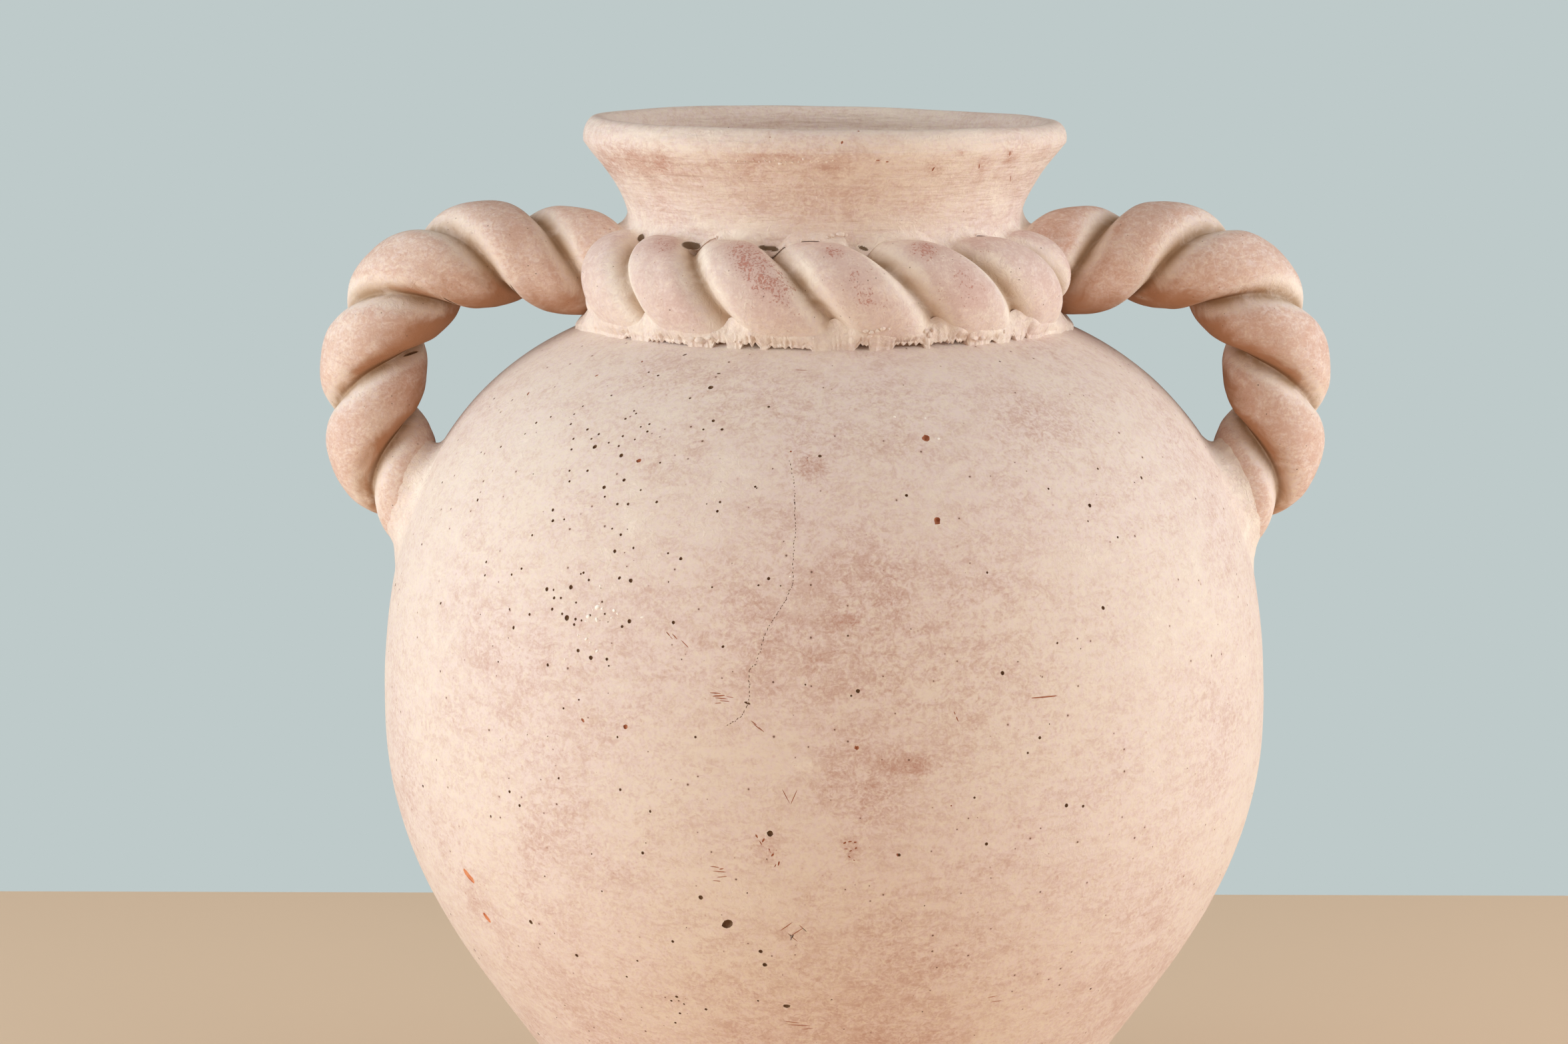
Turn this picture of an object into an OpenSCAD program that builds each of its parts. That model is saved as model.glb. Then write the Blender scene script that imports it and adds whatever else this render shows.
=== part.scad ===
// Stoneware urn: a hollow thrown body, a short flared neck with a banded lip, a twisted rope collar pressed
// into the groove under the neck, and two twisted rope handles from the neck to the shoulder.
// The origin is the middle of the underside, +Z is up, -Y is the front and +X is the right handle's side.

/* [Body] */
// Widest diameter of the body
body_d = 332; // [300:1:370]
// Height of the widest level above the underside
belly_h = 200; // [175:1:225]
// Diameter of the underside
base_d = 144; // [120:1:170]
// Rounding of the edge of the underside
base_round = 3; // [1:0.5:6]
// Height of the flat ledge that carries the neck
ledge_h = 343; // [328:1:360]
// Outer diameter of the shoulder where it reaches the ledge
ledge_d = 168; // [158:1:178]
// Thickness of the body wall
body_wall = 10; // [7:0.5:12]
// Thickness of the floor
floor_t = 14; // [10:0.5:20]

/* [Body outline] */
// Lean of the wall outwards from upright at the foot, in degrees
foot_lean = 24; // [16:1:32]
// Slope of the shoulder at the ledge, in degrees
shoulder_slope = 20; // [14:1:26]
// How far the foot's line runs straight, as a share of the belly's height
foot_pull_share = 0.46; // [0.36:0.01:0.54]
// How far the upright belly runs down, as a share of the belly's height
low_belly_pull_share = 0.43; // [0.34:0.01:0.52]
// How far the upright belly runs up, as a share of the height from belly to ledge
high_belly_pull_share = 0.41; // [0.32:0.01:0.5]
// How far the shoulder's slope runs out, as a share of the height from belly to ledge
shoulder_pull_share = 0.5; // [0.4:0.01:0.58]

/* [Neck and rim] */
// Diameter of the clear round throat
throat_d = 114; // [104:1:118]
// Outer diameter of the neck in the groove that the collar lies in
groove_d = 134; // [132:1:140]
// Height of the groove's upright wall above the ledge
groove_h = 17; // [14:1:20]
// Outer diameter of the neck's waist
waist_d = 151; // [148:1:158]
// Height of the waist's lower edge above the ledge
waist_low_h = 36; // [33:1:39]
// Height of the waist's upper edge above the ledge
waist_high_h = 43; // [41:1:47]
// Height of the rim above the ledge
neck_h = 75; // [68:1:84]
// Outer diameter of the lip
rim_d = 179; // [172:1:190]
// Height of the band round the lip
band_h = 11; // [8:0.5:14]
// How far the band's widest line stands out past its lower edge
band_swell = 1; // [0:0.25:2]
// Thickness of the lip
lip_t = 10; // [8:0.5:12]

/* [Rope] */
// Diameter of one rolled strand
strand_d = 25; // [22:0.5:26]
// Distance from the rope's middle to a strand's middle
lay_r = 7.5; // [6.5:0.25:8.5]
// Length of one full turn of the twist in a handle
handle_pitch = 66; // [58:0.5:76]
// Length of one full turn of the twist in the collar
collar_pitch = 63.5; // [56:0.5:74]
// Clearance between pieces that are pressed together
clearance = 0.4; // [0.3:0.05:0.6]

/* [Collar] */
// Diameter of the collar's middle line
collar_d = 152; // [148:1:158]
// Height of the collar's middle line above the ledge
collar_rise = 15; // [12:0.5:18]
// Twist of the collar at the front, in degrees
collar_phase = 195; // [0:5:355]

/* [Handles] */
// How far the handle's middle line stands outside the body's widest radius
handle_stand = 3.5; // [0:0.5:12]
// Height of the handle's middle line above the ledge where it leaves the neck
handle_rise = 19; // [17:0.5:23]
// Climb of the handle's top as it leaves the neck, in degrees
handle_climb = 5; // [0:1:10]
// Bend radius of the handle's upper corner
upper_bend_r = 46; // [40:1:56]
// Straight length between the two bends
side_run = 12.5; // [6:0.5:18]
// Bend radius of the handle's lower corner
lower_bend_r = 42; // [36:1:50]
// Twist of the handle where it leaves the neck's groove, in degrees
handle_phase = 212; // [0:4:356]
// Height of the clay smoothed round the handle's foot
root_h = 8; // [6:0.5:12]
// Width of the clay smoothed round the handle's foot
root_w = 7; // [5:0.5:11]
// Thickness of the feathered edge of that clay
root_edge = 1; // [0.8:0.1:2]

/* [Hidden] */

// Fineness of the turned surfaces and of the swept ropes
$fn = 96;
body_steps = 14;
neck_steps = 6;
lip_steps = 8;
arc_steps = 10;
rings_a_turn = 18;
root_sides = 32;
search_steps = 16;

slip = "#dcc3b2";
wash = "#cfae9c";
wear = "#bd8f78";

rope_r = lay_r + strand_d / 2;
pitch_angle = 360 * collar_pitch / (PI * collar_d);
part_u = clearance;

function mix(a, b, t) = a + (b - a) * t;
function bezier(p, t) = p[0] * pow(1 - t, 3) + p[1] * 3 * t * pow(1 - t, 2)
                        + p[2] * 3 * t * t * (1 - t) + p[3] * pow(t, 3);
function curve(p, steps) = [for (i = [0 : steps]) bezier(p, i / steps)];
function tail(list) = [for (i = [1 : len(list) - 1]) list[i]];
function reverse(list) = [for (i = [len(list) - 1 : -1 : 0]) list[i]];
function swapped(list) = [for (p = list) [p.y, p.x]];
// Left-hand normal of a run of points, from the neighbours on each side
function run_normal(list, i) =
    let (d = list[min(i + 1, len(list) - 1)] - list[max(i - 1, 0)]) [-d.y, d.x] / norm(d);
function inset(list, t) = [for (i = [0 : len(list) - 1]) list[i] + run_normal(list, i) * t];

// Outer line of the body, from the underside up to the ledge
belly_r = body_d / 2;
rise_h = ledge_h - belly_h;
low_curve = curve([[base_d / 2, base_round],
                   [base_d / 2 + belly_h * foot_pull_share * sin(foot_lean),
                    base_round + belly_h * foot_pull_share * cos(foot_lean)],
                   [belly_r, belly_h - belly_h * low_belly_pull_share],
                   [belly_r, belly_h]], body_steps);
high_curve = curve([[belly_r, belly_h],
                    [belly_r, belly_h + rise_h * high_belly_pull_share],
                    [ledge_d / 2 + rise_h * shoulder_pull_share * cos(shoulder_slope),
                     ledge_h - rise_h * shoulder_pull_share * sin(shoulder_slope)],
                    [ledge_d / 2, ledge_h]], body_steps);
body_line = concat(low_curve, tail(high_curve));
inner_line = inset(body_line, body_wall);

// Outer line of the neck, from the ledge up to the lip
throat_r = throat_d / 2;
groove_r = groove_d / 2;
waist_r = waist_d / 2;
rim_r = rim_d / 2;
rim_h = ledge_h + neck_h;
band_r = rim_r - band_swell;
band_low_h = rim_h - band_h;
groove_bend = waist_low_h - groove_h;
flare_h = neck_h - band_h - waist_high_h;
groove_bend_share = 0.45;
flare_pull_share = 0.28;
flare_lean_share = 0.62;
flare_r = mix(band_r, waist_r, flare_lean_share);
flare_z = band_low_h - flare_h * (1 - flare_lean_share);
neck_line = concat([[groove_r, ledge_h]],
    curve([[groove_r, ledge_h + groove_h],
           [groove_r, ledge_h + groove_h + groove_bend * groove_bend_share],
           [waist_r, ledge_h + waist_low_h - groove_bend * groove_bend_share],
           [waist_r, ledge_h + waist_low_h]], neck_steps),
    curve([[waist_r, ledge_h + waist_high_h],
           [waist_r, ledge_h + waist_high_h + flare_h * flare_pull_share],
           [flare_r, flare_z],
           [band_r, band_low_h]], neck_steps));
// The lip is half an ellipse, as tall as what the band leaves above its widest line
lip_rise_share = 0.64;
lip_rise = band_h * lip_rise_share;
lip_line = [for (i = [0 : lip_steps])
    let (a = 180 * i / lip_steps)
    [rim_r - lip_t / 2 + lip_t / 2 * cos(a), rim_h - lip_rise + lip_rise * sin(a)]];
throat_line = concat(
    curve([[rim_r - lip_t, band_low_h + band_swell],
           [flare_r - lip_t, flare_z],
           [waist_r - lip_t, ledge_h + waist_high_h + flare_h * flare_pull_share],
           [waist_r - lip_t, ledge_h + waist_high_h]], neck_steps),
    curve([[waist_r - lip_t, ledge_h + waist_low_h],
           [waist_r - lip_t, ledge_h + waist_low_h - groove_bend * groove_bend_share],
           [throat_r, ledge_h + groove_h + groove_bend * groove_bend_share],
           [throat_r, ledge_h + groove_h]], neck_steps),
    [[throat_r, ledge_h]]);

// Radius of the neck and of the body at a height, height of the shoulder at a radius
neck_table = swapped(neck_line);
body_table = swapped(body_line);
function neck_r(z) = lookup(z, neck_table);
function body_r(z) = lookup(z, body_table);
function shoulder_z(r) = lookup(r, high_curve);
// Distance of a point from the body's wall beside it, negative inside
function body_gap(r, z) =
    let (dr = r - body_r(z), dz = z - shoulder_z(r))
    dr > 0 && dz > 0 ? dr * dz / norm([dr, dz]) : min(dr, dz);

base_edge = [for (a = [-90 : 30 : -30]) [base_d / 2, base_round] + base_round * [cos(a) - 1, sin(a)]];
floor_edge = [lookup(floor_t, swapped(inner_line)), floor_t];
ledge_low_h = ledge_h - body_wall;
module body_shell() color(slip)
    rotate_extrude()
        polygon(concat([[0, 0]], base_edge, body_line,
            [[throat_r, ledge_h], [throat_r, ledge_low_h]],
            [for (p = reverse(inner_line)) if (p.y > floor_t && p.y < ledge_low_h) p],
            [floor_edge, [0, floor_t]]));

module neck_and_rim() color(slip)
    rotate_extrude()
        polygon(concat([[throat_r, ledge_h]], neck_line, lip_line, throat_line));

// One strand across its rope: an ellipse round the strand's middle, cut flat where its partner lies on it.
// The first number runs through both strands' middles, and the last point is the middle of the flat.
strand_r = strand_d / 2;
lay_angle = atan(2 * PI * lay_r / collar_pitch);
strand_across = strand_r / cos(lay_angle);
open_angle = acos((part_u - lay_r) / strand_r);
flat_mid = [part_u, 0];
crest = [rope_r, 0];
mid_share = (lay_r - part_u) / (rope_r - part_u);
section = concat([for (k = [0 : arc_steps])
    let (a = open_angle * (2 * k / arc_steps - 1))
    [lay_r + strand_r * cos(a), strand_across * sin(a)]], [flat_mid]);
sides = len(section);
cap_shares = [0.66, 0.33];
function spun(p, a) = [p.x * cos(a) - p.y * sin(a), p.x * sin(a) + p.y * cos(a)];
// A point of the section, drawn in along its ray from the flat's middle until it is free
function held(q, free) =
    mix(flat_mid, q, free(q) ? 1 : halved(function (t) free(mix(flat_mid, q, t)), 0, 1, search_steps));
// The same, then drawn in by a share towards the middle of what is left of the section
function held_in(q, share, free) =
    share == 1 ? held(q, free) : mix(mix(flat_mid, held(crest, free), mid_share), held(q, free), share);

// The solid of one strand from its rings, with a cap of shrinking rings and a middle point at each end
function ring_base(i) = i * sides;
function side_faces(i) = concat(
    [for (k = [0 : arc_steps - 1]) each [
        [ring_base(i) + k, ring_base(i + 1) + k, ring_base(i) + k + 1],
        [ring_base(i) + k + 1, ring_base(i + 1) + k, ring_base(i + 1) + k + 1]]],
    let (last = arc_steps, flat = arc_steps + 1) [
        [ring_base(i) + last, ring_base(i + 1) + flat, ring_base(i) + flat],
        [ring_base(i) + last, ring_base(i + 1) + last, ring_base(i + 1) + flat],
        [ring_base(i), ring_base(i + 1) + flat, ring_base(i + 1)],
        [ring_base(i), ring_base(i) + flat, ring_base(i + 1) + flat]]);
module strand_solid(rings, start_mid, end_mid) {
    count = len(rings);
    points = concat([for (ring = rings) each ring], [start_mid, end_mid]);
    first = count * sides;
    faces = concat([for (i = [0 : count - 2]) each side_faces(i)],
        [for (k = [0 : sides - 1]) [first, k, (k + 1) % sides]],
        [for (k = [0 : sides - 1])
            [first + 1, ring_base(count - 1) + (k + 1) % sides, ring_base(count - 1) + k]]);
    polyhedron(points, faces);
}

// Searches along one edge line: stepwise while it is clear, then by halving
function halved(test, low, high, steps) =
    steps == 0 ? low : let (m = (low + high) / 2) test(m) ? halved(test, m, high, steps - 1)
                                                          : halved(test, low, m, steps - 1);
function reach(test, at, step, limit) =
    limit == 0 ? at : test(at + step) ? reach(test, at + step, step, limit - 1)
                                      : halved(test, at, at + step, search_steps);

// The collar: both ropes lie in the groove, held clear of the neck and of the shoulder
collar_r = collar_d / 2;
collar_z = ledge_h + collar_rise;
handle_z = ledge_h + handle_rise;
// Faces between two points of a rope dip towards a rounded wall, so such places keep a few clearances
shoulder_clearance = 3 * clearance;
end_clearance = 3 * clearance;
foot_clearance = 2 * clearance;
groove_margin = strand_r / 5;
function neck_near(z) = max(neck_r(z - groove_margin), neck_r(z + groove_margin)) + clearance;
function in_groove(r, z) = r >= neck_near(z) && z >= shoulder_z(r) + shoulder_clearance;
function collar_point(q, share, a, phase) =
    let (turn = phase + 360 * a / pitch_angle,
         free = function (f) let (p = spun(f, turn)) in_groove(collar_r + p.y, collar_z + p.x),
         p = spun(held_in(q, share, free), turn), r = collar_r + p.y)
    [r * sin(a), -r * cos(a), collar_z + p.x];
// Distance from the middle line of a handle where it leaves the neck, counted sideways only below that line
function handle_gap(p) =
    norm([p.y, max(0, (p.z - handle_z) * cos(handle_climb) - (abs(p.x) - groove_r) * sin(handle_climb))]);
scan_angle = 45;
scan_step = 1;
function collar_end(q, share, middle, way, phase) =
    reach(function (a) handle_gap(collar_point(q, share, a, phase)) >= rope_r + end_clearance,
          middle + way * scan_angle, way * scan_step, 90);
collar_rings = ceil(2 * (90 - asin(rope_r / collar_r)) / pitch_angle * rings_a_turn);
module collar_strand(middle, phase) {
    function end_ring(share, way) =
        [for (q = section) collar_point(q, share, collar_end(q, share, middle, way, phase), phase)];
    first = [for (q = section) collar_end(q, 1, middle, -1, phase)];
    last = [for (q = section) collar_end(q, 1, middle, 1, phase)];
    strand_solid(concat(
        [for (share = reverse(cap_shares)) end_ring(share, -1)],
        [for (i = [0 : collar_rings]) [for (j = [0 : sides - 1])
            collar_point(section[j], 1, mix(first[j], last[j], i / collar_rings), phase)]],
        [for (share = cap_shares) end_ring(share, 1)]),
        end_ring(0, -1)[0], end_ring(0, 1)[0]);
}

// The left handle's middle line: out from the neck, over the upper bend, down, and in over the lower bend
handle_reach = belly_r + handle_stand;
bend_x = handle_reach - upper_bend_r;
top_run = (bend_x - upper_bend_r * sin(handle_climb) - groove_r) / cos(handle_climb);
upper_turn = 90 + handle_climb;
lower_turn = 75;
upper_arc = upper_bend_r * upper_turn * PI / 180;
lower_arc = lower_bend_r * lower_turn * PI / 180;
side_start = top_run + upper_arc;
lower_start = side_start + side_run;
bend_z = handle_z + top_run * sin(handle_climb) - upper_bend_r * cos(handle_climb);
// Angle of the line above level, and the unit vectors along it and towards the inside of its bends
function line_angle(s) = handle_climb
    - min(upper_turn, max(0, s - top_run) / upper_bend_r * 180 / PI)
    - min(lower_turn, max(0, s - lower_start) / lower_bend_r * 180 / PI);
function along(b) = [-cos(b), sin(b)];
function inward(b) = [-sin(b), -cos(b)];
function line_point(s) =
    s < top_run ? [-groove_r, handle_z] + s * along(handle_climb) :
    s < side_start ? [-bend_x, bend_z] - upper_bend_r * inward(line_angle(s)) :
    s < lower_start ? [-handle_reach, bend_z - (s - side_start)] :
    let (low = [-handle_reach + lower_bend_r, bend_z - side_run] - lower_bend_r * inward(line_angle(s)))
    low + max(0, s - lower_start - lower_arc) * along(line_angle(s));
function off_line(s, u, v) =
    let (c = line_point(s) + u * inward(line_angle(s))) [c.x, -v, c.y];
function out_r(p) = norm([p.x, p.y]);
function off_neck(p) = out_r(p) >= neck_near(p.z);
function off_body(p) = body_gap(out_r(p), p.z) >= foot_clearance;
function off_shoulder(p) = p.z >= shoulder_z(out_r(p)) + shoulder_clearance;
function handle_point(q, share, s, phase) =
    let (turn = phase + 360 * s / handle_pitch,
         free = function (f) let (p = spun(f, turn)) s > top_run || off_shoulder(off_line(s, p.x, p.y)),
         p = spun(held_in(q, share, free), turn))
    off_line(s, p.x, p.y);
function neck_end(q, share, phase) =
    reach(function (s) off_neck(handle_point(q, share, s, phase)), top_run, -scan_step, 90);
function body_end(q, share, phase) =
    reach(function (s) off_body(handle_point(q, share, s, phase)), side_start, scan_step, 200);
handle_length = body_end(flat_mid, 1, 0) - neck_end(flat_mid, 1, 0);
handle_rings = ceil(handle_length / handle_pitch * rings_a_turn);
module handle_strand(phase) {
    first = [for (q = section) neck_end(q, 1, phase)];
    last = [for (q = section) body_end(q, 1, phase)];
    function neck_ring(share) = [for (q = section) handle_point(q, share, neck_end(q, share, phase), phase)];
    function body_ring(share) = [for (q = section) handle_point(q, share, body_end(q, share, phase), phase)];
    strand_solid(concat(
        [for (share = reverse(cap_shares)) neck_ring(share)],
        [for (i = [0 : handle_rings]) [for (j = [0 : sides - 1])
            handle_point(section[j], 1, mix(first[j], last[j], i / handle_rings), phase)]],
        [for (share = cap_shares) body_ring(share)]),
        neck_ring(0)[0], body_ring(0)[0]);
}

// The clay smoothed round the foot of a handle, feathered out along the body
root_steps = 3;
root_in = rope_r + clearance;
root_from = side_start - upper_bend_r / 2;
function root_floor(r, a) =
    reach(function (s) off_body(off_line(s, r * cos(a), r * sin(a))), root_from, scan_step, 200);
function root_loop(a) =
    let (rim = [for (k = [0 : root_steps]) root_in + root_w * k / root_steps],
         low = [for (r = rim) root_floor(r, a)],
         high = [for (k = [0 : root_steps]) low[k] - mix(root_edge, root_h, pow(1 - k / root_steps, 2))])
    concat([for (k = [0 : root_steps]) off_line(low[k], rim[k] * cos(a), rim[k] * sin(a))],
           [for (k = [root_steps : -1 : 0]) off_line(high[k], rim[k] * cos(a), rim[k] * sin(a))]);
module handle_root() {
    loops = [for (i = [0 : root_sides - 1]) root_loop(360 * i / root_sides)];
    n = len(loops[0]);
    polyhedron([for (l = loops) each l],
        [for (i = [0 : root_sides - 1]) for (k = [0 : n - 1])
            let (j = (i + 1) % root_sides, m = (k + 1) % n) each [
                [i * n + k, j * n + m, i * n + m],
                [i * n + k, j * n + k, j * n + m]]]);
}

module collar_front_strand_a() color(wear) collar_strand(0, collar_phase);
module collar_front_strand_b() color(wash) collar_strand(0, collar_phase + 180);
module collar_back_strand_a() color(wear) collar_strand(180, collar_phase);
module collar_back_strand_b() color(wash) collar_strand(180, collar_phase + 180);
module handle_left_strand_a() color(slip) handle_strand(handle_phase);
module handle_left_strand_b() color(wash) handle_strand(handle_phase + 180);
module handle_right_strand_a() color(slip) mirror([1, 0, 0]) handle_strand(handle_phase);
module handle_right_strand_b() color(wash) mirror([1, 0, 0]) handle_strand(handle_phase + 180);
module handle_left_root() color(slip) handle_root();
module handle_right_root() color(slip) mirror([1, 0, 0]) handle_root();

body_shell();
neck_and_rim();
collar_front_strand_a();
collar_front_strand_b();
collar_back_strand_a();
collar_back_strand_b();
handle_left_strand_a();
handle_left_strand_b();
handle_right_strand_a();
handle_right_strand_b();
handle_left_root();
handle_right_root();
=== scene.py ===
import random
from math import ceil, cos, hypot, pi, radians, sin

import bmesh
import bpy
import numpy as np
from mathutils import Euler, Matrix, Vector, noise
from mathutils.bvhtree import BVHTree


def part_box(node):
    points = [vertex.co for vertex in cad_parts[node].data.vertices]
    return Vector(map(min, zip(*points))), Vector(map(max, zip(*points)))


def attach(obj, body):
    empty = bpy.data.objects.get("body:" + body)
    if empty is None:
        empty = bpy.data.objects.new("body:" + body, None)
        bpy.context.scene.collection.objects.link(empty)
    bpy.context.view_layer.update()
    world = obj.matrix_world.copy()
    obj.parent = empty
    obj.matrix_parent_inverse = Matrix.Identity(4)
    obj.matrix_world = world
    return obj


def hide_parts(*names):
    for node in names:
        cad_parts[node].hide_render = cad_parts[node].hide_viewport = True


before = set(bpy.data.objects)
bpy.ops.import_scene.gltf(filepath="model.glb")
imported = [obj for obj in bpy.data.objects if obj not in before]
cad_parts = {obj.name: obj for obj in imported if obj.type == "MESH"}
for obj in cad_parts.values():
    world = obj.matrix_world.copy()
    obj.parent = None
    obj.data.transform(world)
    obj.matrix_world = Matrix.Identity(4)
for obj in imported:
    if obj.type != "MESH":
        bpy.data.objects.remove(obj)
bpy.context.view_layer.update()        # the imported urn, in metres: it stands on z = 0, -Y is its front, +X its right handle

MM = 0.001
body_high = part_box("body_shell")[1]
neck_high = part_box("neck_and_rim")[1]
chance = random.Random(41)

# The photograph's camera and frame
IMAGE_W = 2354
IMAGE_H = 1568
LENS_MM = 85
SENSOR_MM = 36
CAMERA_PLACE = Vector((0, -1.380, 0.489))
CAMERA_TILT = Euler((radians(90 - 9.2), 0, radians(0.63)))
VIEW_TURN = CAMERA_TILT.to_matrix()
PIXELS_A_UNIT = IMAGE_W * LENS_MM / SENSOR_MM

# The body, as thrown
BODY_R = body_high.x
BELLY_Z = 200 * MM
BASE_R = 72 * MM
BASE_ROUND = 3 * MM
LEDGE_Z = body_high.z
LEDGE_R = 84 * MM
WALL = 10 * MM
FLOOR = 14 * MM
FOOT_LEAN = radians(24)
SHOULDER_SLOPE = radians(20)
FOOT_PULL_SHARE = 0.46
LOW_BELLY_PULL_SHARE = 0.43
HIGH_BELLY_PULL_SHARE = 0.41
SHOULDER_PULL_SHARE = 0.5

# The neck and rim
THROAT_R = 57 * MM
GROOVE_R = 67 * MM
GROOVE_TOP_Z = LEDGE_Z + 17 * MM
WAIST_R = 73 * MM
WAIST_LOW_Z = LEDGE_Z + 32 * MM
WAIST_HIGH_Z = LEDGE_Z + 36 * MM
RIM_Z = neck_high.z
RIM_R = 89.5 * MM
BAND_SWELL = 1.6 * MM
BAND_H = 11 * MM
LIP_T = 10 * MM
FLARE_PULL_SHARE = 0.28
FLARE_LEAN_SHARE = 0.62
LIP_RISE_SHARE = 0.64
GROOVE_BEND_SHARE = 0.45

# The twisted ropes
STRAND_R = 12.5 * MM
LAY_R = 7.5 * MM
ROPE_R = STRAND_R + LAY_R
HANDLE_PITCH = 66 * MM
COLLAR_R = 76 * MM
COLLAR_Z = LEDGE_Z + 15 * MM
COLLAR_PITCH_ANGLE = 47.87
COLLAR_PHASE = 195
HANDLE_PHASE = 212
HANDLE_START_R = GROOVE_R
HANDLE_START_Z = LEDGE_Z + 19 * MM
HANDLE_CLIMB = radians(5)
HANDLE_TOP_RUN = 52.69 * MM
HANDLE_UPPER_R = 46 * MM
HANDLE_SIDE_RUN = 12.5 * MM
HANDLE_LOWER_R = 42 * MM
HANDLE_LOWER_TURN = radians(75)
COLLAR_SWEEP = 160
SKIRT_R = 89.8 * MM
SIDES = ((-1, "left"), (1, "right"))
STRANDS = (("a", 0), ("b", 180))


def srgb(red, green, blue):
    """A colour given by its eight-bit screen values, as Blender's linear colour."""
    share = [value / 255 for value in (red, green, blue)]
    return tuple(v / 12.92 if v <= 0.04045 else ((v + 0.055) / 1.055) ** 2.4 for v in share) + (1.0,)


# Slips, washes and clays, and the colours of painted shade
CREAM = srgb(231, 216, 200)
BLUSH = srgb(229, 211, 204)
CHALK = srgb(241, 228, 213)
ROSE_WASH = srgb(196, 158, 142)
MAUVE_WASH = srgb(209, 179, 169)
HANDLE_WASH = srgb(205, 164, 144)
ROPE_CREAM = srgb(234, 216, 200)
# Painted shade colours: tan in the rope grooves, darker brown in their bottoms and along the collar's foot,
# brown on the handles' under and inner sides (there partly a browner wash), and brown in the pockets under
# the collar
GROOVE_SHADE_TAN = srgb(186, 156, 126)
UNDERSIDE_SHADE_AND_WASH = srgb(177, 129, 97)
CREASE_SHADE_BROWN = srgb(126, 94, 66)
POCKET_SHADE_BROWN = srgb(118, 95, 71)
RUST = srgb(182, 114, 96)
RED_CLAY = srgb(176, 112, 80)
TAN = srgb(216, 182, 158)
PIT_BROWN = srgb(108, 78, 54)
FLOOR_COLOUR = srgb(246, 219, 188)
BACKDROP_COLOUR = srgb(190, 202, 202)

# The body's most pitted part, how wide it spreads, and how much larger its pinholes are cut than they look
PITTED_X = -60 * MM
PITTED_Z = 215 * MM
PITTED_REACH = 60 * MM
PINHOLE_GROWTH = 1.25
# An outer skin's points and normals agree by more than this, in metres
OUTER_SKIN_FROM = 0.002

# Marks seen in the photograph: its pixel x and y, then the size across in pixels, and where the mark is long,
# how many times longer it is than wide and its turn in degrees (0 lies level, 90 stands)
PINHOLES = (
    (893, 671, 6), (933, 684, 5.5), (907, 732, 5), (937, 721, 4.4), (943, 757, 3.6), (927, 757, 3.6),
    (986, 754, 3.6), (882, 707, 3.6), (855, 707, 3.2), (855, 723, 3.2), (858, 675, 3.2), (861, 659, 3.2),
    (857, 637, 3.4), (862, 622, 3), (882, 645, 3.8), (899, 652, 3.4), (888, 659, 3), (914, 665, 2.8),
    (929, 670, 3.2), (935, 655, 3.4), (939, 629, 3.4), (953, 660, 2.6), (972, 648, 3.4), (975, 637, 3),
    (962, 641, 2.8), (955, 621, 2.8), (952, 617, 2.8), (918, 594, 2.8), (875, 610, 2.8), (827, 626, 3),
    (805, 635, 3.6), (752, 671, 3), (717, 751, 4), (830, 766, 4), (830, 782, 4.2), (847, 780, 2.8),
    (799, 804, 3), (908, 746, 3), (919, 794, 2.6), (932, 803, 3.6), (923, 828, 4.6), (951, 823, 3),
    (962, 736, 2.6), (991, 695, 2.8), (974, 559, 3), (988, 564, 3.4), (851, 928, 7), (857, 882, 5.6),
    (821, 885, 5), (887, 988, 5.4), (911, 990, 4), (868, 977, 4.6), (914, 1000, 2.6), (947, 872, 5.4),
    (945, 933, 5.4), (934, 941, 3.8), (832, 898, 3.8), (842, 898, 3.2), (831, 886, 2.8), (829, 915, 3.8),
    (844, 922, 3.4), (864, 930, 3.8), (862, 938, 3.4), (873, 932, 2.8), (886, 924, 2.8), (908, 922, 2.8),
    (904, 904, 2.6), (865, 905, 2.8), (795, 923, 3.6), (765, 915, 2.8), (783, 854, 3.2), (768, 863, 3.2),
    (730, 844, 3.4), (728, 864, 3), (876, 860, 3.4), (872, 862, 2.6), (884, 871, 3.4), (748, 994, 2.6),
    (869, 1051, 2.6), (846, 1064, 2.8), (927, 1107, 2.8), (1067, 582, 6.5), (1036, 598, 3),
    (1154, 611, 3.6), (1071, 632, 4.6), (1084, 645, 4), (1056, 645, 3), (1134, 731, 3.2),
    (1081, 754, 3.2), (1077, 768, 3.6), (1022, 839, 4.4), (1003, 831, 2.8), (1154, 869, 4),
    (1011, 935, 4.4), (1069, 882, 2.4), (1273, 955, 2.6), (1288, 1038, 5.4), (1278, 1045, 2.6),
    (1044, 1107, 3.2), (1361, 744, 4), (1648, 704, 3), (1574, 734, 3), (1636, 759, 5), (1482, 860, 3),
    (1656, 913, 5), (1505, 1011, 5), (1561, 1108, 4), (1543, 1131, 3), (1678, 807, 3), (1463, 1198, 3),
    (1601, 1210, 5), (1626, 1211, 4), (1156, 1252, 8), (1052, 1348, 6), (797, 1385, 6), (965, 1281, 4),
    (765, 1189, 4), (780, 1210, 4), (1142, 1429, 5), (1148, 1449, 6), (1010, 1414, 4), (866, 1435, 5),
    (1016, 1497, 4), (1060, 1516, 4), (1181, 1511, 6, 1.5, 0), (1008, 1503, 3), (1021, 1522, 3.4),
    (1027, 1508, 2.8), (1014, 1536, 3), (957, 1443, 3), (941, 1467, 3), (1092, 1388, 11, 1.4, 30),
    (1079, 561, 2.5, 2, 0), (1028, 533, 3, 2, 20), (1122, 1056, 3, 2.8, -20), (1350, 1284, 4),
)
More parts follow.
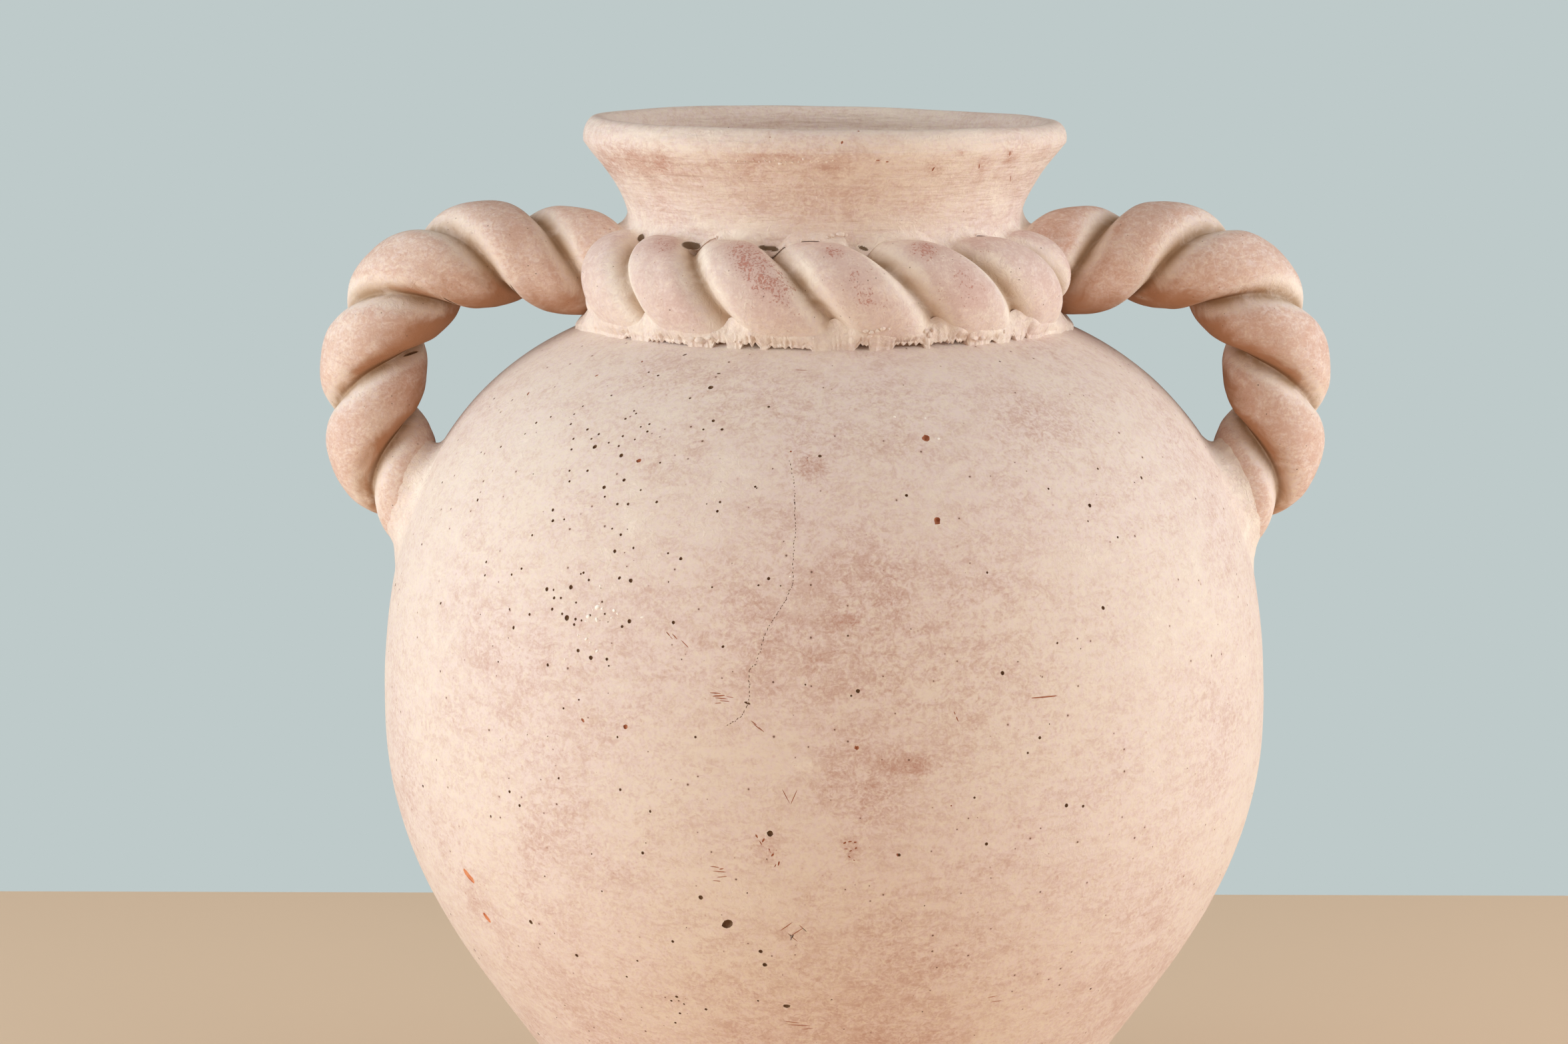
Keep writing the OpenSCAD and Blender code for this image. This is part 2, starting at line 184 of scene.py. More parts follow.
CLAY_CHIPS = (
    (959, 692, 7, 1.1, 15), (939, 1092, 7, 1.1, 60), (1286, 1123, 7), (875, 1082, 4, 1.9, -50),
    (793, 591, 4, 2.2, 62), (896, 564, 3.4, 1.8, 25), (964, 543, 3, 1.6, 80), (1390, 658, 11.5, 1.2, 10),
    (1407, 782, 11, 1.1, 80), (1187, 678, 3.2), (1146, 1262, 3, 2.4, 60), (1160, 1284, 3, 2, 50),
    (1268, 1266, 3, 1.6, 30), (1276, 1264, 2, 3.4, 5), (1284, 1265, 2.2, 2, 0), (1270, 1275, 1.8, 3, 0),
    (1285, 1274, 2.2, 1.8, 40), (1277, 1278, 2, 2.4, 20), (1275, 1287, 2, 2.4, -30),
    (1282, 1292, 1.6, 2, -30), (1136, 1256, 3, 2.2, -60), (1142, 1266, 1.8, 4, -60),
    (1155, 1276, 1.8, 2, -60), (1169, 1297, 2.6, 3, 75), (1164, 1300, 1.8, 3, 60), (1348, 1284, 5),
    (1437, 1080, 1.8, 5, -65), (1433, 1071, 1.5, 4, -65), (1428, 1210, 2.4), (1083, 1305, 2, 3.4, 10),
)
HAIRLINE_CRACK = (
    (1185, 690), (1191, 718), (1193, 743), (1194, 797), (1191, 832), (1190, 879), (1186, 885),
    (1181, 899), (1167, 920), (1154, 940), (1147, 958), (1141, 979), (1134, 998), (1126, 1005),
    (1124, 1018), (1126, 1028), (1124, 1051), (1122, 1060), (1115, 1074), (1103, 1083), (1091, 1090),
)
SCRATCHES = (
    (1003, 952, 1.6, 6, -49), (1013, 956, 1.6, 8, -48), (1008, 958, 1.2, 5, -48),
    (1028, 967, 1.4, 12, -45), (1074, 1041, 1.6, 11, -4), (1079, 1045, 2.2, 9, 4),
    (1083, 1049, 1.6, 14, -6), (1088, 1053, 1.4, 12, -3), (1078, 1056, 1.3, 8, 2),
    (1096, 1047, 1.2, 9, -8), (1132, 1086, 1.3, 9, -38), (1137, 1092, 1.4, 12, -40),
    (1143, 1096, 1.2, 10, -42), (1073, 1302, 1.5, 10, -8), (1080, 1309, 1.6, 14, -5),
    (1084, 1317, 1.4, 12, 3), (1076, 1323, 1.4, 9, -4), (1180, 1392, 1.5, 18, 35),
    (1196, 1400, 1.5, 20, 32), (1190, 1408, 1.3, 18, -40), (1205, 1394, 1.3, 14, -42),
    (1188, 1535, 1.5, 18, -6), (1200, 1540, 1.6, 22, -3), (1212, 1545, 1.4, 14, 4),
    (1490, 1497, 1.4, 12, 12), (1495, 1504, 1.4, 14, 10), (1566, 1047, 2.4, 34, 5),
    (1180, 1196, 1.3, 20, -62), (1192, 1197, 1.3, 20, 66), (1203, 556, 1.4, 14, -2),
)
CREVICES = (
    (676, 453, 3.6, 9, -25), (617, 531, 4, 9, 17), (774, 438, 4, 8, -48), (1568, 449, 4, 5, 25),
)
ORANGE_SMEARS = (
    (704, 1316, 13, 2.2, -52), (731, 1378, 11, 1.8, -54),
)
CHALK_LUMPS = (
    (896, 931, 5, 1.7, -68), (897, 912, 7, 1.3, 20), (904, 914, 4), (890, 916, 3), (900, 906, 3),
    (922, 917, 5, 1.2, -40), (927, 922, 3, 1.6, -50), (883, 926, 5, 1.3, 30), (879, 933, 3),
    (880, 960, 4, 1.5, 30), (886, 965, 3), (868, 954, 3), (918, 928, 3), (964, 927, 3, 2, 10),
    (896, 978, 4, 1.4, 30), (848, 990, 3), (901, 880, 3), (1343, 626, 4), (1409, 659, 4), (1389, 628, 3),
    (1186, 866, 3),
)
SLIP_DROPS = (
    (1040, 509, 8, 1.6, -10), (1052, 511, 11, 1.8, -4), (1064, 508, 6, 1.5, 10), (1110, 514, 5),
    (1103, 513, 3.5), (1300, 497, 7, 1.3, 10), (1308, 499, 8), (1317, 497, 7), (1325, 494, 8, 1.2, 20),
    (1334, 494, 6), (1306, 505, 6, 1.5, 15), (1395, 503, 9, 1.1, 90), (1389, 497, 8), (1400, 496, 7),
    (1462, 508, 9, 1.6, -5), (1474, 507, 8, 1.5, 5), (1448, 514, 5), (1508, 498, 6), (1520, 503, 5),
    (1222, 508, 4), (1161, 508, 3), (1126, 505, 3), (1242, 357, 5), (1262, 352, 8, 1.8, 0),
    (1250, 354, 6), (1270, 353, 6),
)
NECK_CRUMBS = (
    (1092, 243, 3), (1106, 242, 3.4), (1118, 243, 2.6), (1131, 241, 3), (1140, 243, 3.6), (1149, 242, 3),
    (1156, 243, 4.4), (1163, 241, 3), (1171, 246, 5, 1.4, 10), (1180, 243, 3), (1190, 244, 3.4),
    (1199, 243, 3), (1206, 239, 4), (1217, 243, 3.4), (1229, 242, 3), (1241, 243, 3.6), (1250, 241, 3),
    (1178, 221, 3), (1213, 267, 2, 4, -20), (1219, 270, 2, 4, -30), (1222, 277, 2, 4, -75),
    (1224, 287, 2, 4.5, -80), (1226, 297, 2, 4, -75), (1231, 294, 1.8, 3, -50), (1237, 301, 1.8, 4, -52),
    (1243, 309, 1.8, 3, -50),
)
LIP_SPOTS = (
    (1289, 197, 3.4), (1264, 214, 3.4, 1.6, 70), (1156, 206, 2), (1332, 243, 2.4, 2, 0),
    (1318, 241, 2.2, 3, 0), (1401, 254, 3, 3, 60), (1470, 250, 2, 6, 88), (1516, 231, 2, 6, 86),
    (1517, 268, 1.6, 12, 88),
)
# Gaps that the slip leaves open along the collar: first and last pixel x, and how open
LOWER_GAPS = (
    (936, 948, 0.75), (972, 1034, 0.45), (1070, 1092, 1), (1112, 1142, 0.85), (1151, 1219, 0.5),
    (1282, 1308, 0.95), (1340, 1390, 0.9), (1396, 1454, 0.95), (1486, 1497, 0.6), (1516, 1526, 0.9),
    (1536, 1544, 0.7),
)
UPPER_GAPS = (
    (966, 979, 0.8), (1045, 1081, 1), (1147, 1183, 0.85), (1202, 1232, 0.55), (1270, 1286, 0.8),
    (1288, 1332, 0.4), (1458, 1484, 0.6),
)
# Soft patches: pixel x and y, half width and half height in pixels, strength, and the turn in degrees if any
BODY_ROSE = (
    (1217, 702, 24, 20, 0.55), (1250, 941, 18, 8, 0.9), (1279, 930, 14, 8, 1),
    (1232, 994, 34, 22, 0.7, 20), (1330, 905, 46, 30, 0.7, 30), (1300, 1170, 90, 60, 0.4),
    (1264, 877, 12, 14, 0.7), (1364, 1148, 52, 24, 0.7), (1300, 960, 110, 130, 0.6),
    (1130, 600, 120, 50, 0.4), (1030, 560, 90, 30, 0.4), (1460, 1000, 120, 160, 0.4),
    (1154, 1278, 30, 30, 0.4), (1277, 1275, 20, 20, 0.4), (1120, 940, 70, 110, 0.3),
    (1000, 680, 60, 45, 0.25), (900, 1250, 120, 70, 0.15), (1300, 640, 120, 60, 0.25),
    (1250, 1450, 220, 110, 0.4), (1560, 640, 90, 50, 0.3),
)
BODY_CHALK = (
    (880, 880, 60, 60, 0.5), (900, 925, 26, 22, 1), (880, 960, 18, 14, 0.8), (1000, 790, 90, 60, 0.4),
    (1060, 730, 80, 60, 0.3), (1180, 545, 320, 26, 0.45), (660, 900, 50, 160, 0.5),
    (1224, 1148, 54, 12, 0.7, 8), (1500, 760, 90, 50, 0.3), (1760, 900, 60, 200, 0.4),
)
BODY_WORN = (
    (1217, 702, 20, 16, 0.25), (1270, 932, 24, 10, 0.5), (1364, 1148, 44, 18, 0.45),
    (1154, 1278, 16, 20, 0.35), (1277, 1275, 12, 14, 0.4), (716, 1345, 20, 36, 0.4),
)
NECK_ROSE = (
    (960, 243, 60, 28, 0.7), (978, 244, 32, 20, 0.9), (1180, 239, 72, 10, 0.8), (1258, 250, 34, 30, 0.6),
    (1313, 242, 22, 6, 0.7), (1402, 254, 13, 14, 0.8, 30), (1472, 255, 6, 20, 0.7),
    (1517, 235, 8, 14, 0.6), (1500, 236, 10, 6, 0.5), (1442, 232, 6, 6, 0.7), (1200, 255, 300, 30, 0.35),
    # The last patch here is painted shade: it darkens the neck's front below the lip
    (1570, 230, 20, 10, 0.5), (1265, 296, 130, 40, 0.45),
)
NECK_WORN = (
    (1180, 240, 76, 7, 0.8), (978, 244, 36, 16, 0.6), (1402, 254, 12, 15, 0.5, 30),
    (1120, 236, 60, 5, 0.6), (1290, 243, 60, 5, 0.5), (1258, 252, 30, 18, 0.35), (1440, 234, 14, 6, 0.35),
    (1520, 236, 12, 10, 0.3),
)
NECK_CHALK = (
    (1180, 290, 200, 30, 0.3), (1060, 200, 160, 8, 0.4), (1400, 200, 120, 8, 0.3),
    (1200, 340, 260, 14, 0.6), (1450, 300, 80, 40, 0.4), (950, 300, 40, 60, 0.5),
)
# Painted shade: dark spots in the hollows between the collar's lobes under the neck's slip
UPPER_POCKET_SHADES = (
    (1038, 369, 15, 6, 1, -8), (1154, 373, 16, 4.5, 1, -8), (1296, 373, 9, 3, 1, -20),
    (963, 357, 7, 5, 1, 40),
)
COLLAR_WORN = (
    (998, 369, 20, 12, 0.8), (1143, 408, 62, 26, 1, -48), (1112, 378, 26, 16, 0.6),
    (1180, 438, 20, 18, 0.9), (1252, 379, 18, 10, 0.9), (1385, 376, 24, 14, 1), (1300, 452, 20, 16, 0.7),
    (1034, 430, 30, 40, 0.35, -40), (1282, 420, 26, 50, 0.4, -40), (1430, 440, 50, 50, 0.4, -40),
    (1480, 380, 16, 12, 0.5), (1190, 480, 24, 16, 0.4), (1330, 457, 14, 10, 0.6),
    (1000, 455, 16, 12, 0.3),
)


def link(name, mesh):
    """A new object at the origin that shows this mesh."""
    piece = bpy.data.objects.new(name, mesh)
    bpy.context.collection.objects.link(piece)
    return piece


def make_camera():
    """The photograph's camera."""
    lens = bpy.data.cameras.new("photo_camera")
    lens.lens = LENS_MM
    lens.sensor_width = SENSOR_MM
    camera = link("photo_camera", lens)
    camera.location = CAMERA_PLACE
    camera.rotation_euler = CAMERA_TILT
    bpy.context.scene.camera = camera


def pixels_of(points):
    """Where the photograph shows these points, as an array of x and y."""
    seen = (np.asarray(points) - np.array(CAMERA_PLACE)) @ np.array(VIEW_TURN)
    across = IMAGE_W / 2 + PIXELS_A_UNIT * seen[:, 0] / -seen[:, 2]
    down = IMAGE_H / 2 - PIXELS_A_UNIT * seen[:, 1] / -seen[:, 2]
    return np.stack([across, down], axis=1)


def ray_through(x, y):
    """The direction in which the photograph's camera sees this pixel."""
    across = (x - IMAGE_W / 2) / PIXELS_A_UNIT
    up = (IMAGE_H / 2 - y) / PIXELS_A_UNIT
    return (VIEW_TURN @ Vector((across, up, -1))).normalized()


def bezier(start, pull, push, end, steps):
    """Points of a cubic curve after its start, as (radius, height)."""
    points = []
    for step in range(1, steps + 1):
        t = step / steps
        u = 1 - t
        weights = (u ** 3, 3 * u * u * t, 3 * u * t * t, t ** 3)
        points.append(tuple(sum(w * p[k] for w, p in zip(weights, (start, pull, push, end))) for k in (0, 1)))
    return points


def body_outer_line():
    """The body's outer skin from the foot's edge to the ledge."""
    foot = (BASE_R, BASE_ROUND)
    belly = (BODY_R, BELLY_Z)
    shoulder = (LEDGE_R, LEDGE_Z)
    low_pull = BELLY_Z * FOOT_PULL_SHARE
    high = LEDGE_Z - BELLY_Z
    foot_pull = (BASE_R + low_pull * sin(FOOT_LEAN), BASE_ROUND + low_pull * cos(FOOT_LEAN))
    low_belly = (BODY_R, BELLY_Z - BELLY_Z * LOW_BELLY_PULL_SHARE)
    high_belly = (BODY_R, BELLY_Z + high * HIGH_BELLY_PULL_SHARE)
    shoulder_pull = (
        LEDGE_R + high * SHOULDER_PULL_SHARE * cos(SHOULDER_SLOPE),
        LEDGE_Z - high * SHOULDER_PULL_SHARE * sin(SHOULDER_SLOPE),
    )
    lower = bezier(foot, foot_pull, low_belly, belly, 74)
    upper = bezier(belly, high_belly, shoulder_pull, shoulder, 82)
    return [foot] + lower + upper


def neck_outer_line():
    """The neck's outer skin from the ledge to the fold under the lip."""
    bend = (WAIST_LOW_Z - GROOVE_TOP_Z) * GROOVE_BEND_SHARE
    flare_h = RIM_Z - BAND_H - WAIST_HIGH_Z
    fold_r = RIM_R - BAND_SWELL
    flare_r = WAIST_R + (fold_r - WAIST_R) * (1 - FLARE_LEAN_SHARE)
    flare_z = WAIST_HIGH_Z + flare_h * FLARE_LEAN_SHARE
    groove = [(GROOVE_R, LEDGE_Z), (GROOVE_R, LEDGE_Z + 8 * MM), (GROOVE_R, GROOVE_TOP_Z)]
    swell = bezier(
        groove[-1], (GROOVE_R, GROOVE_TOP_Z + bend), (WAIST_R, WAIST_LOW_Z - bend), (WAIST_R, WAIST_LOW_Z), 14
    )
    waist = (WAIST_R, WAIST_HIGH_Z)
    flare_pull = (WAIST_R, WAIST_HIGH_Z + flare_h * FLARE_PULL_SHARE)
    flare = bezier(waist, flare_pull, (flare_r, flare_z), (fold_r, RIM_Z - BAND_H), 18)
    return groove + swell + [(WAIST_R, (WAIST_LOW_Z + WAIST_HIGH_Z) / 2), waist] + flare


def lip_line():
    """The rounded lip, from the fold under it, over the top and down its inner side."""
    semi_r = LIP_T / 2
    middle_r = RIM_R - semi_r
    rise = BAND_H * LIP_RISE_SHARE
    middle_z = RIM_Z - rise
    points = []
    for step in range(29):
        angle = radians(-14 + 208 * step / 28)
        points.append((middle_r + semi_r * cos(angle), middle_z + rise * sin(angle)))
    return points


def throat_line():
    """The neck's inner skin from the lip down to the opening in the ledge."""
    flare_h = RIM_Z - BAND_H - WAIST_HIGH_Z
    inner_r = WAIST_R - WALL
    bend = (WAIST_LOW_Z - GROOVE_TOP_Z) * GROOVE_BEND_SHARE
    inner_lip = (RIM_R - LIP_T, RIM_Z - BAND_H)
    flare_r = inner_r + (RIM_R - LIP_T - inner_r) * (1 - FLARE_LEAN_SHARE)
    inner_flare = (flare_r, WAIST_HIGH_Z + flare_h * FLARE_LEAN_SHARE)
    inner_pull = (inner_r, WAIST_HIGH_Z + flare_h * FLARE_PULL_SHARE)
    down = bezier(inner_lip, inner_flare, inner_pull, (inner_r, WAIST_HIGH_Z), 12)
    waist = (inner_r, WAIST_LOW_Z)
    low = bezier(
        waist, (inner_r, WAIST_LOW_Z - bend), (THROAT_R, GROOVE_TOP_Z + bend), (THROAT_R, GROOVE_TOP_Z), 10
    )
    return [inner_lip] + down + [waist] + low + [(THROAT_R, LEDGE_Z)]


class Skin:
    """An outer skin of revolution, which says how deep under it a point lies."""

    def __init__(self, line):
        self.line = np.array(line)

    def depth(self, radius, height):
        """For each point, its depth under the nearest skin and the skin's outward direction there."""
        start = self.line[:-1]
        run = self.line[1:] - start
        place = np.stack([radius, height], axis=1)[:, None, :]
        share = np.clip(((place - start) * run).sum(axis=2) / (run ** 2).sum(axis=1), 0, 1)
        gap = place - (start + share[..., None] * run)
        nearest = np.argmin((gap ** 2).sum(axis=2), axis=1)
        gap = gap[np.arange(len(radius)), nearest]
        along = run[nearest] / np.linalg.norm(run[nearest], axis=1)[:, None]
        outward = np.stack([along[:, 1], -along[:, 0]], axis=1)
        side = (gap * outward).sum(axis=1)
        return -np.sign(side) * np.linalg.norm(gap, axis=1), outward


BODY_SKIN = Skin([(BASE_R - BASE_ROUND, 0)] + body_outer_line())
NECK_SKIN = Skin(neck_outer_line())


def points_of(mesh):
    """The mesh's points as an array, one row each."""
    flat = np.empty(len(mesh.vertices) * 3)
    mesh.vertices.foreach_get("co", flat)
    return flat.reshape(-1, 3)


def normals_of(mesh):
    """The mesh's point normals as an array, one row each."""
    flat = np.empty(len(mesh.vertices) * 3)
    mesh.vertices.foreach_get("normal", flat)
    return flat.reshape(-1, 3)


def move_points(mesh, points):
    mesh.vertices.foreach_set("co", points.ravel())
    mesh.update()


def stay_near_skin(piece, skin, deepest):
    """Lifts what lies deeper than this under a skin, so that nothing shows inside the urn."""
    points = points_of(piece.data)
    radius = np.hypot(points[:, 0], points[:, 1])
    depth, outward = skin.depth(radius, points[:, 2])
    lift = np.maximum(depth - deepest, 0)
    new_radius = radius + outward[:, 0] * lift
    points[:, :2] *= (new_radius / np.maximum(radius, MM))[:, None]
    points[:, 2] += outward[:, 1] * lift
    move_points(piece.data, points)


def paint(piece, layer, patches):
    """Stores how strongly the photograph's soft patches lie on each point that it sees."""
    points = points_of(piece.data)
    faces_camera = ((np.array(CAMERA_PLACE) - points) * normals_of(piece.data)).sum(axis=1) > 0
    pixels = pixels_of(points)
    amount = np.zeros(len(points))
    for x, y, half_w, half_h, strength, *turn in patches:
        angle = radians(turn[0]) if turn else 0
        c, s = cos(angle), sin(angle)
        across = pixels[:, 0] - x
        up = y - pixels[:, 1]
        distance = np.hypot((across * c + up * s) / half_w, (up * c - across * s) / half_h)
        fade = np.clip(1.5 - distance, 0, 1)
        amount = np.maximum(amount, strength * fade * fade * (3 - 2 * fade))
    store(piece.data, layer, amount * faces_camera)


def store(mesh, layer, values):
    """Stores a number on each point, or a direction where the values have three columns."""
    values = np.asarray(values)
    if values.ndim == 2:
        mesh.attributes.new(layer, "FLOAT_VECTOR", "POINT").data.foreach_set("vector", values.ravel())
    else:
        mesh.attributes.new(layer, "FLOAT", "POINT").data.foreach_set("value", values)


class Wall:
    """The finished surface of some pieces, to set other pieces against."""

    def __init__(self, *pieces):
        depsgraph = bpy.context.evaluated_depsgraph_get()
        self.trees = [BVHTree.FromObject(piece, depsgraph) for piece in pieces]

    def depth(self, point):
        """How deep the point lies under the surface, with the surface's place and normal there."""
        found = [tree.find_nearest(point)[:2] for tree in self.trees]
        depths = [((place - point).dot(normal), place, normal) for place, normal in found]
        return max(depths, key=lambda one: one[0])

    def hit(self, start, way, reach=10.0):
        """The first place that a straight look meets, and its normal, or None."""
        hits = [tree.ray_cast(start, way, reach) for tree in self.trees]
        hits = [one for one in hits if one[0] is not None]
        return min(hits, key=lambda one: one[3])[:2] if hits else None


def mesh_of(name, points, faces):
    mesh = bpy.data.meshes.new(name)
    mesh.from_pydata(points, [], faces)
    mesh.update()
    return mesh


def finish_piece(piece, slot, *nodes):
    """Smooths a finished piece, joins it to the urn's body and hides its CAD nodes; the slot is not used."""
    piece.data.shade_smooth()
    piece.data.set_sharp_from_angle(angle=radians(42))
    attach(piece, "root")
    if nodes:
        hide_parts(*nodes)


def outputs_of(tree, node):
    """A node's outputs by name, as numbers."""
    return {socket.name: Number(tree, socket) for socket in node.outputs}


def new_tree(name, kind, inputs, outputs):
    """A node group with these inputs and outputs, each with its kind of socket: the inputs come by name."""
    tree = bpy.data.node_groups.new(name, kind)
    for way, sockets in (("INPUT", inputs), ("OUTPUT", outputs)):
        for label, socket in sockets.items():
            tree.interface.new_socket(label, in_out=way, socket_type="NodeSocket" + socket)
    return tree, outputs_of(tree, tree.nodes.new("NodeGroupInput")), tree.nodes.new("NodeGroupOutput")


def plug(tree, node, values):
    """Joins a node's inputs to numbers, sockets or other nodes' first outputs, or gives them plain values."""
    for label, value in values.items():
        if isinstance(value, bpy.types.Node):
            value = value.outputs[0]
        elif isinstance(value, Number):
            value = value.socket
        if isinstance(value, bpy.types.NodeSocket):
            tree.links.new(value, node.inputs[label])
        else:
            node.inputs[label].default_value = value


def add(tree, kind, inputs=None, **settings):
    """A new node with its settings, and its inputs by name or number."""
    node = tree.nodes.new(kind)
    for setting, value in settings.items():
        setattr(node, setting, value)
    plug(tree, node, inputs or {})
    return node


class Number:
    """A node's output that takes Python's own signs, so that a formula in nodes reads like one."""

    def __init__(self, tree, source):
        self.tree = tree
        self.socket = source.outputs[0] if isinstance(source, bpy.types.Node) else source

    def worked(self, operation, *others, turned=False):
        values = (*others, self) if turned else (self, *others)
        node = add(self.tree, "ShaderNodeMath", dict(enumerate(values)), operation=operation)
        return Number(self.tree, node)

    def __add__(self, other):
        return self.worked("ADD", other)

    __radd__ = __add__

    def __sub__(self, other):
        return self.worked("SUBTRACT", other)

    def __rsub__(self, other):
        return self.worked("SUBTRACT", other, turned=True)

    def __mul__(self, other):
        return self.worked("MULTIPLY", other)

    __rmul__ = __mul__

    def __truediv__(self, other):
        return self.worked("DIVIDE", other)

    def step(self, low, high):
        """0 up to low, 1 from high, and a soft change between; turned round where low is the higher."""
        inputs = {"Value": self, "From Min": low, "From Max": high}
        node = add(self.tree, "ShaderNodeMapRange", inputs, interpolation_type="SMOOTHSTEP")
        return Number(self.tree, node)


def applied(piece):
    """The plain mesh that a piece shows with its modifiers, which then go."""
    depsgraph = bpy.context.evaluated_depsgraph_get()
    shown = piece.evaluated_get(depsgraph)
    mesh = bpy.data.meshes.new_from_object(shown, preserve_all_data_layers=True, depsgraph=depsgraph)
    piece.modifiers.clear()
    return mesh


def grown(tree, source, name, sizes):
    """The plain mesh piece that a geometry tree makes from a source object, which then goes."""
    modifier = source.modifiers.new(tree.name, "NODES")
    modifier.node_group = tree
    for item in tree.interface.items_tree:
        if item.in_out == "INPUT" and item.name in sizes:
            modifier[item.identifier] = sizes[item.name]
    mesh = applied(source)
    mesh.name = name
    bpy.data.objects.remove(source)
    return link(name, mesh)


def cut_out(cutter, *pieces):
    """Cuts the cutter's shape out of the pieces, which take its finish in the cut; then the cutter goes."""
    for piece in pieces:
        modifier = piece.modifiers.new("cut", "BOOLEAN")
        modifier.operation = "DIFFERENCE"
        modifier.solver = "MANIFOLD"
        modifier.material_mode = "TRANSFER"
        modifier.object = cutter
        piece.data = applied(piece)
    bpy.data.objects.remove(cutter)


def push_and_finish(tree, result, geometry, way, amount, finish):
    """Pushes the mesh's points this way by this amount, gives it its finish and hands it out."""
    push = add(tree, "ShaderNodeVectorMath", {0: way, "Scale": amount}, operation="SCALE")
    shaped = add(tree, "GeometryNodeSetPosition", {"Geometry": geometry, "Offset": push})
    plug(tree, result, {0: add(tree, "GeometryNodeSetMaterial", {"Geometry": shaped, "Material": finish})})


def strand_tree():
    """One strand of a two-strand clay rope: half of the twisted section, swept along the rope's line.

    The section is two rounded lobes that slip joins in the groove between them.
    """
    sizes = (
        "Strand radius", "Lay radius", "Pitch", "Phase", "Slip in groove", "Unevenness",
        "Round start", "Round end", "Seed",
    )
    tree, given, result = new_tree(
        "rope_strand", "GeometryNodeTree",
        {"Line": "Geometry", "Up": "Vector"} | dict.fromkeys(sizes, "Float") | {"Finish": "Material"},
        {"Strand": "Geometry"},
    )

    def roundness(distance, reach):
        """How full the strand is at this distance from its end."""
        left = 1 - (distance / reach).worked("MINIMUM", 1.0)
        return (1 - left * left).worked("MAXIMUM", 0.02).worked("SQRT")

    # The line, with the section's turn along it
    along = outputs_of(tree, add(tree, "GeometryNodeSplineParameter"))["Length"]
    total = Number(tree, add(tree, "GeometryNodeSplineLength"))
    turn = given["Phase"] + along * (2 * pi) / given["Pitch"]
    framed = {"Curve": given["Line"], "Normal": given["Up"]}
    line = add(tree, "GeometryNodeSetCurveNormal", framed, mode="FREE")
    line = add(tree, "GeometryNodeSetCurveTilt", {"Curve": line, "Tilt": turn})
    middle = add(tree, "GeometryNodeCaptureAttribute", {"Geometry": line})
    middle.capture_items.new("VECTOR", "Middle")
    position = add(tree, "GeometryNodeInputPosition")
    plug(tree, middle, {"Middle": position})
    fullness = roundness(along, given["Round start"]) * roundness(total - along, given["Round end"])

    # The half section: an outer arc across one lobe, then straight back through the rope's middle
    section_points = 72
    arc_points = 60
    circle = add(tree, "GeometryNodeCurvePrimitiveCircle", {"Resolution": section_points}, mode="RADIUS")
    index = Number(tree, add(tree, "GeometryNodeInputIndex"))
    sweep = (index / arc_points).worked("MINIMUM", 1.0) * pi - pi / 2
    angle = sweep.worked("SINE") * (pi / 2)
    back = (index - arc_points).worked("MAXIMUM", 0.0) / (section_points - arc_points)
    lay = given["Lay radius"]
    lay_angle = (lay * (2 * pi) / given["Pitch"].worked("ABSOLUTE")).worked("ARCTANGENT")
    semi_out = given["Strand radius"]
    semi_across = semi_out / lay_angle.worked("COSINE")
    cosine = angle.worked("COSINE")
    sine = angle.worked("SINE")
    squares = cosine * cosine / (semi_out * semi_out) + sine * sine / (semi_across * semi_across)
    lean = lay * cosine / (semi_out * semi_out)
    rest = lay * lay / (semi_out * semi_out) - 1
    root = (lean * lean - squares * rest).worked("SQRT")
    reach = ((lean + root) / squares).worked("SMOOTH_MAX", (root - lean) / squares, given["Slip in groove"])
    place = add(tree, "ShaderNodeCombineXYZ", {"X": reach * cosine, "Y": reach * sine * (1 - back * 2)})
    section = add(tree, "GeometryNodeSetPosition", {"Geometry": circle, "Position": place})
    crest = {"Geometry": section, "Name": "crest", "Value": cosine}
    section = add(tree, "GeometryNodeStoreNamedAttribute", crest, data_type="FLOAT", domain="POINT")
    swept = add(
        tree, "GeometryNodeCurveToMesh",
        {"Curve": middle, "Profile Curve": section, "Scale": fullness, "Fill Caps": True},
    )

    # Hand work: the strand swells and thins, with small dents
    outward = add(
        tree, "ShaderNodeVectorMath", {0: position, 1: middle.outputs["Middle"]}, operation="SUBTRACT"
    )
    outward = add(tree, "ShaderNodeVectorMath", {0: outward}, operation="NORMALIZE")
    swells = 0
    for scale, share in ((28, 1.0), (75, 0.55), (210, 0.16)):
        inputs = {"Vector": position, "W": given["Seed"], "Scale": scale, "Detail": 1.0}
        wave = Number(tree, add(tree, "ShaderNodeTexNoise", inputs, noise_dimensions="4D"))
        swells = (wave - 0.5) * (2 * share) + swells
    push_and_finish(tree, result, swept, outward, swells * given["Unevenness"], given["Finish"])
    return tree


